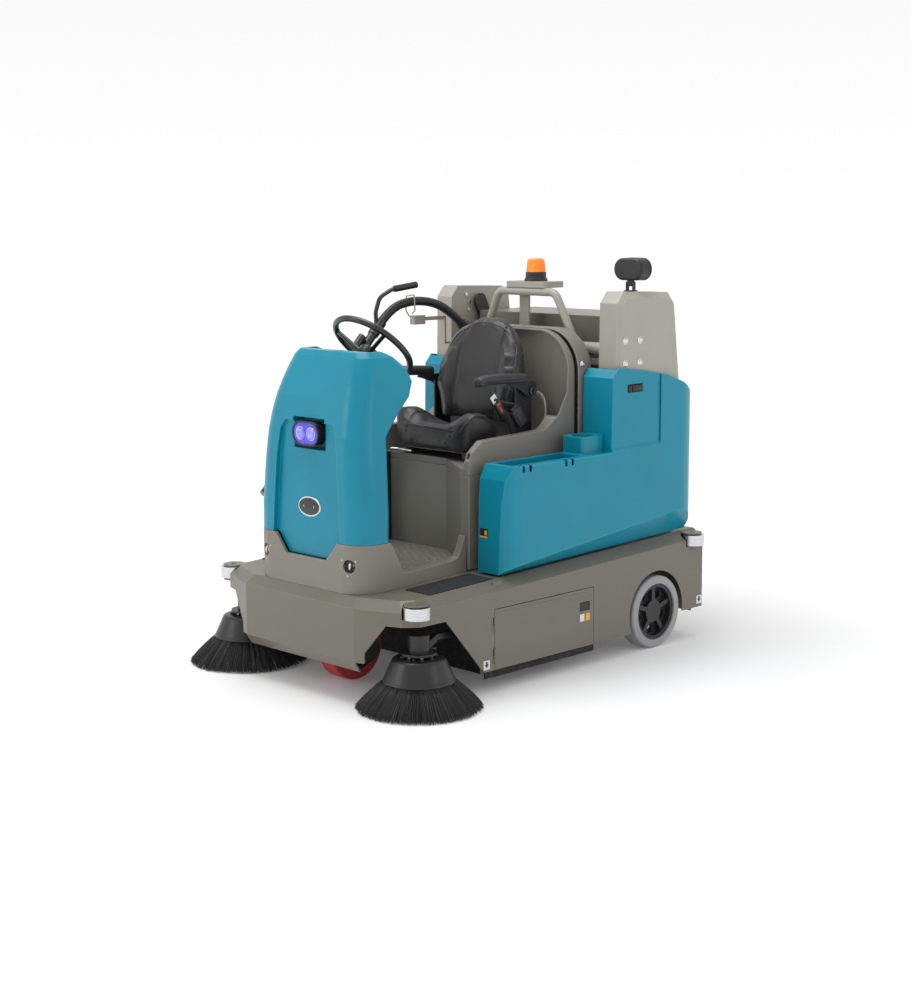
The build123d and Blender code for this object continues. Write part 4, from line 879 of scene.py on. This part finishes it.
def lamp_face(name, centre, way, body, lens, wide=0.140, high=0.082):
    place = frame_of(centre, way, (1, 0, 0))
    bm = bmesh.new()
    for dx in (-0.031, 0.031):
        spot = place @ Matrix.Translation((dx, 0, 0))
        add_lathe(bm, [(0.026, 0), (0.0260, 0.0014), (0.0245, 0.0022), (0.022, 0.0016)], spot, 40)
    finish_mesh(name + "_reflectors", bm, "lens_clear", body)
    bm = bmesh.new()
    oval_plate(bm, place @ Matrix.Translation((0, 0, -0.0008)), wide + 0.006, high + 0.004, 0.0022,
               inset=0.0008, dome=0.0006, power=2.3)
    glass = "lens_deep" if lens == "led_blue" else "lens_clear"
    finish_mesh(name + "_plate", bm, glass, body)
    bm = bmesh.new()
    for dx in (-0.031, 0.031):
        spot = place @ Matrix.Translation((dx, 0, 0.0012))
        add_lathe(bm, [(0.0215, 0), (0.0210, 0.0020), (0.016, 0.0036), (0.008, 0.0044), (0.003, 0.0046)],
                  spot, 40)
    finish_mesh(name + "_lenses", bm, lens, body)
    bm = bmesh.new()
    steps = 72
    rings = []
    for inset, z in ((-0.006, -0.006), (-0.006, 0.0012), (-0.005, 0.0024), (-0.003, 0.0026),
                     (-0.002, 0.0018), (-0.002, 0)):
        ring = []
        for i in range(steps):
            a = 2 * math.pi * i / steps
            c, s = math.cos(a), math.sin(a)
            cx = math.copysign((wide - high) / 2, c)
            r = high / 2 - inset
            ring.append(bm.verts.new(place @ Vector((cx + c * r, s * r, z))))
        rings.append(ring)
    for low, top in zip(rings, rings[1:]):
        for i in range(steps):
            bm.faces.new((low[i], low[(i + 1) % steps], top[(i + 1) % steps], top[i]))
    finish_mesh(name + "_bezel", bm, "black_gloss", body)


low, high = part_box("front_lamp")
lamp_face("front_lamp", (0, low.y + 0.004, (low.z + high.z) / 2), (0, -1, 0), "front_lamp", "led_blue")
low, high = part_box("rear_lamp")
rear_lens = (0.475, high.y - 0.0065, high.z - 0.0465)
lamp_face("rear_lamp", rear_lens, (0, 1, 0), "rear_lamp", "lens_clear", 0.138, 0.078)


def make_beacon():
    place = Matrix.Translation((0, 0.484, 0))
    bm = bmesh.new()
    ribs = 36
    steps_per_rib = 6
    rib_height = 0.0009

    def rib(i, r, z):
        on_side = 1.560 < z < 1.607
        return rib_height * math.cos(2 * math.pi * i / steps_per_rib) if on_side else 0

    add_lathe(bm, [(0.0355, 1.5484), (0.0355, 1.5563), (0.041, 1.5566), (0.041, 1.5600), (0.0398, 1.5610),
                   (0.0365, 1.5990), (0.0350, 1.6060), (0.0320, 1.6105), (0.0270, 1.6135), (0.018, 1.6152),
                   (0.004, 1.6158)], place, ribs * steps_per_rib, rib)
    beacon = finish_mesh("beacon_dome", bm, "amber_lens", "chassis", angle=50)
    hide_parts("beacon_lens")
    bm = bmesh.new()
    add_lathe(bm, [(0.0405, 1.5540), (0.0435, 1.5545), (0.0435, 1.5575), (0.0415, 1.5585)], place, 48)
    finish_mesh("beacon_ring", bm, "black_gloss", "chassis")


make_beacon()


# ---------------------------------------------------------------- applied details
def make_badge():
    spot, normal = on_node("console_shell", (0, -2, 0.708), (0, 1, 0))
    place = frame_of(spot - normal * 0.001, normal, (1, 0, 0))
    bm = bmesh.new()
    oval_plate(bm, place, 0.132, 0.079, 0.0045, inset=0.002)
    finish_mesh("badge_rim", bm, "bright_zinc", "chassis")
    bm = bmesh.new()
    oval_plate(bm, place @ Matrix.Translation((0, 0, 0.0040)), 0.119, 0.066, 0.0016, inset=0.0008,
               dome=0.002)
    finish_mesh("badge_plate", bm, "black_gloss", "chassis")
    bm = bmesh.new()
    oval_plate(bm, place @ Matrix.Translation((0, 0, 0.0066)), 0.062, 0.022, 0.0006, inset=0.0003,
               power=2.4)
    finish_mesh("badge_bar", bm, "bright_zinc", "chassis")


make_badge()


STUD_LONG, STUD_WIDE = 0.0115, 0.0062


def stud_vertex(bm, place, scale, a, z):
    """A point on a tread stud, an oval that is longer towards one end."""
    longer = 1.1 if math.cos(a) > 0 else 0.9
    x = STUD_LONG * scale * math.cos(a) * longer
    return bm.verts.new(place @ Vector((x, STUD_WIDE * scale * math.sin(a), z)))


def make_floor_grip():
    bm = bmesh.new()
    for j in range(10):
        for i in range(13):
            x = -0.125 + 0.027 * i
            y = -0.462 + 0.034 * j + (0.017 if i % 2 else 0)
            spot, normal = on_node("floor_pan", (x, y, 0.60), (0, 0, -1))
            if not 0.40 < spot.z < 0.50:
                continue
            place = frame_of(spot - normal * 0.0015, normal, (0, 1, 0))
            rings = []
            for scale, z in ((1, 0), (0.97, 0.0020), (0.82, 0.0036), (0.5, 0.0045), (0.1, 0.0048)):
                rings.append([stud_vertex(bm, place, scale, 2 * math.pi * k / 16, z) for k in range(16)])
            for lo, hi in zip(rings, rings[1:]):
                for k in range(16):
                    bm.faces.new((lo[k], lo[(k + 1) % 16], hi[(k + 1) % 16], hi[k]))
            bm.faces.new(rings[-1])
            bm.faces.new(rings[0][::-1])
    finish_mesh("floor_grip_studs", bm, "taupe_plastic", "chassis")


make_floor_grip()


def plate(bm, node, origin, direction, wide, high, across, lift=0.0004, thick=0.0008, shift=(0, 0),
          radius=0.0):
    spot, normal = on_node(node, origin, direction)
    place = frame_of(spot + normal * (lift + thick / 2), normal, across)
    add_box(bm, (wide, high, thick), place @ Matrix.Translation((*shift, 0)), radius)
    return place


def make_labels():
    for side, sign in SIDES:
        across = (0, sign, 0)
        for name, y, z, node, body in (("front", -0.385, 0.112, "chassis", "chassis"),
                                       ("rear", 0.915, 0.160, "chassis", "chassis")):
            origin = (sign * 2, y, z)
            way = (-sign, 0, 0)
            bm = bmesh.new()
            place = plate(bm, node, origin, way, 0.034, 0.036, across)
            finish_mesh("tie_mark_%s_%s" % (name, side), bm, "sticker_white", body, smooth=False)
            bm = bmesh.new()
            add_box(bm, (0.009, 0.010, 0.0006), place @ Matrix.Translation((0, 0.008, 0.0007)), 0)
            up = place @ Matrix.Translation((0, 0, 0.0007))
            lower, upper = (-0.0003, 0.0003)
            tri = [(-0.011, 0.003), (0.011, 0.003), (0, -0.012)]
            v = [bm.verts.new(up @ Vector((x, y2, z2))) for z2 in (lower, upper) for x, y2 in tri]
            bm.faces.new(v[:3])
            bm.faces.new(v[3:])
            for i in range(3):
                bm.faces.new((v[i], v[(i + 1) % 3], v[3 + (i + 1) % 3], v[3 + i]))
            finish_mesh("tie_arrow_%s_%s" % (name, side), bm, "sticker_black", body, smooth=False)
        body = "door_" + side
        node = "brush_door_" + side
        for name, y, z, w, h, mat in (("pale", 0.160, 0.205, 0.026, 0.030, "sticker_white"),
                                      ("yellow", 0.194, 0.205, 0.026, 0.030, "sticker_yellow")):
            bm = bmesh.new()
            plate(bm, node, (sign * 2, y, z), (-sign, 0, 0), w, h, across)
            finish_mesh("door_mark_%s_%s" % (name, side), bm, mat, body, smooth=False)
    bm = bmesh.new()
    place = plate(bm, "side_cover_left", (0.418, -2, 0.588), (0, 1, 0), 0.042, 0.036, (1, 0, 0))
    finish_mesh("cover_mark", bm, "sticker_black", "cover_left", smooth=False)
    bm = bmesh.new()
    add_box(bm, (0.040, 0.006, 0.0006), place @ Matrix.Translation((0, -0.0145, 0.0007)), 0)
    add_box(bm, (0.012, 0.018, 0.0006), place @ Matrix.Translation((0.010, 0.002, 0.0007)), 0)
    finish_mesh("cover_mark_stripe", bm, "sticker_yellow", "cover_left", smooth=False)


make_labels()


def make_cover_latches():
    for side, sign in SIDES:
        bm = bmesh.new()
        spot, normal = on_node("side_cover_" + side, (sign * 2, 0.490, 1.102), (-sign, 0, 0))
        place = frame_of(spot + normal * 0.0006, normal, (0, 1, 0))
        # Painted shade: a near-black sheet under each latch stands in for the shaded recess around it.
        add_box(bm, (0.092, 0.032, 0.002), place, 0.0008)
        finish_mesh("cover_latch_shade_plate_" + side, bm, "painted_gap_shade", "cover_" + side,
                    smooth=False)
        bm = bmesh.new()
        add_box(bm, (0.056, 0.022, 0.006), place @ Matrix.Translation((0.010, 0, 0.0035)), 0.002, 3)
        add_box(bm, (0.020, 0.024, 0.004), place @ Matrix.Translation((-0.032, 0, 0.0025)), 0.0015, 3)
        finish_mesh("cover_latch_" + side, bm, "black_plastic", "cover_" + side)


make_cover_latches()


TOWER_BOLT_Y = (0.438, 0.529)
TOWER_BOLT_Z = (1.203, 1.294)
TOWER_OUTSIDE = 0.5355
SHROUD_OUTSIDE = 0.3803
SHROUD_BOLTS = ((0.352, 1.199), (0.376, 1.132))


def make_bolt_heads():
    """Domed chrome heads and washers over the CAD bolts of the towers and the shroud."""
    tower = [(TOWER_OUTSIDE, y, z, 0.0125) for y in TOWER_BOLT_Y for z in TOWER_BOLT_Z]
    shroud = [(SHROUD_OUTSIDE, y, z, 0.0105) for y, z in SHROUD_BOLTS]
    spots = [(sign * x, y, z, sign, r)
             for bolts in (tower, shroud) for sign in (1, -1) for x, y, z, r in bolts]
    bm = bmesh.new()
    for x, y, z, sign, r in spots:
        place = frame_of((x, y, z), (sign, 0, 0))
        washer = [(r * 1.25, 0), (r * 1.25, 0.0012), (r * 1.05, 0.0018)]
        dome = [(r, 0.0026), (r * 0.92, 0.0052), (r * 0.68, 0.0074), (r * 0.4, 0.0082)]
        socket = [(r * 0.32, 0.0066), (r * 0.06, 0.0064)]
        add_lathe(bm, washer + dome + socket, place, 28)
    finish_mesh("bolt_heads", bm, "bright_zinc", "chassis", angle=50)


make_bolt_heads()


def make_tie_hooks():
    """The bright hook that stands in each front tie-down recess."""
    bm = bmesh.new()
    for sign in (1, -1):
        turn = Matrix.Rotation(math.radians(sign * 25), 4, "Z")
        place = Matrix.Translation((sign * 0.242, -0.784, 0.511)) @ turn
        hook = [(0.000, 0.022, 0.010), (0.002, 0.004, 0.013), (0.002, -0.008, 0.012),
                (0.001, -0.013, 0.004), (0.000, -0.013, -0.006), (-0.001, -0.008, -0.013),
                (0.0, 0.001, -0.015)]
        path = smooth_path([place @ Vector(p) for p in hook], 6)
        add_tube(bm, path, [0.0046] * (len(path) - 3) + [0.004, 0.003, 0.002], steps=12)
        for dx, dz in ((-0.030, 0.020), (0.030, 0.020), (0.0, -0.036)):
            spot, normal = on_node("floor_pan", (sign * 0.242 + dx, -2, 0.511 + dz), (0, 1, 0))
            rivet = [(0.0032, -0.001), (0.0030, 0.0008), (0.0016, 0.0014)]
            add_lathe(bm, rivet, frame_of(spot, normal), 12)
    finish_mesh("tie_hooks", bm, "bright_zinc", "chassis")


make_tie_hooks()


# ---------------------------------------------------------------- stage and light
FLOOR_HALF = 60
FLOOR_DROP = 0.0005
NEAR, FAR = 1.2, 5.0                    # where the floor's own glow starts and stops rising
GLOW_NEAR, GLOW_FAR = 0.06, 0.34
SKY_AT_HORIZON, SKY_ABOVE, SKY_ABOVE_FROM = 1.0, 0.72, 0.8


def make_stage():
    bm = bmesh.new()
    for x, y in ((-1, -1), (1, -1), (1, 1), (-1, 1)):
        bm.verts.new((FLOOR_HALF * x, FLOOR_HALF * y, -FLOOR_DROP))
    bm.faces.new(list(bm.verts))
    mesh = bpy.data.meshes.new("floor")
    bm.to_mesh(mesh)
    bm.free()
    floor = bpy.data.objects.new("floor", mesh)
    bpy.context.scene.collection.objects.link(floor)
    n = Nodes("floor_pale")
    coords = n.add("TexCoord").outputs["Object"]
    n.link(n.mix(n.spread(n.noise(coords, 1.2, 2), 0, 1), (0.86, 0.86, 0.86, 1), (0.9, 0.9, 0.9, 1)),
           n.bsdf.inputs["Base Color"])
    n.bsdf.inputs["Roughness"].default_value = 0.8
    far = n.add("VectorMath", operation="LENGTH")
    n.link(coords, far.inputs[0])
    glow = n.add("MapRange")
    for i, v in zip((1, 2, 3, 4), (NEAR, FAR, GLOW_NEAR, GLOW_FAR)):
        glow.inputs[i].default_value = v
    n.link(far.outputs["Value"], glow.inputs[0])
    n.bsdf.inputs["Emission Color"].default_value = (1, 1, 1, 1)
    n.link(glow.outputs[0], n.bsdf.inputs["Emission Strength"])
    mesh.materials.append(n.mat)


def area_light(name, spot, aim, size, power):
    data = bpy.data.lights.new(name, "AREA")
    data.shape = "RECTANGLE"
    data.size, data.size_y = size
    data.energy = power
    obj = bpy.data.objects.new(name, data)
    bpy.context.scene.collection.objects.link(obj)
    obj.location = spot
    obj.rotation_mode = "QUATERNION"
    obj.rotation_quaternion = (Vector(spot) - Vector(aim)).to_track_quat("Z", "Y")


def make_world():
    """A pale sky, brightest at the horizon, and plain sRGB colours."""
    world = bpy.data.worlds.new("studio")
    bpy.context.scene.world = world
    world.use_nodes = True
    tree = world.node_tree
    coords = tree.nodes.new("ShaderNodeTexCoord")
    parts = tree.nodes.new("ShaderNodeSeparateXYZ")
    ramp = tree.nodes.new("ShaderNodeMapRange")
    for i, v in zip((1, 2, 3, 4), (0.0, SKY_ABOVE_FROM, SKY_AT_HORIZON, SKY_ABOVE)):
        ramp.inputs[i].default_value = v
    tree.links.new(coords.outputs["Generated"], parts.inputs[0])
    tree.links.new(parts.outputs["Z"], ramp.inputs[0])
    background = tree.nodes["Background"]
    background.inputs["Color"].default_value = (1.0, 1.0, 1.0, 1)
    tree.links.new(ramp.outputs[0], background.inputs["Strength"])
    bpy.context.scene.view_settings.view_transform = "Standard"


make_stage()
make_world()
area_light("overhead", (-0.6, -0.6, 5.0), (0, 0, 0.6), (3.0, 3.0), 125)
area_light("front_soft", (-2.4, -5.0, 2.8), (0, 0, 0.9), (2.2, 2.2), 38)
area_light("side_soft", (5.2, 1.0, 2.4), (0.2, 0, 0.7), (1.6, 2.2), 16)
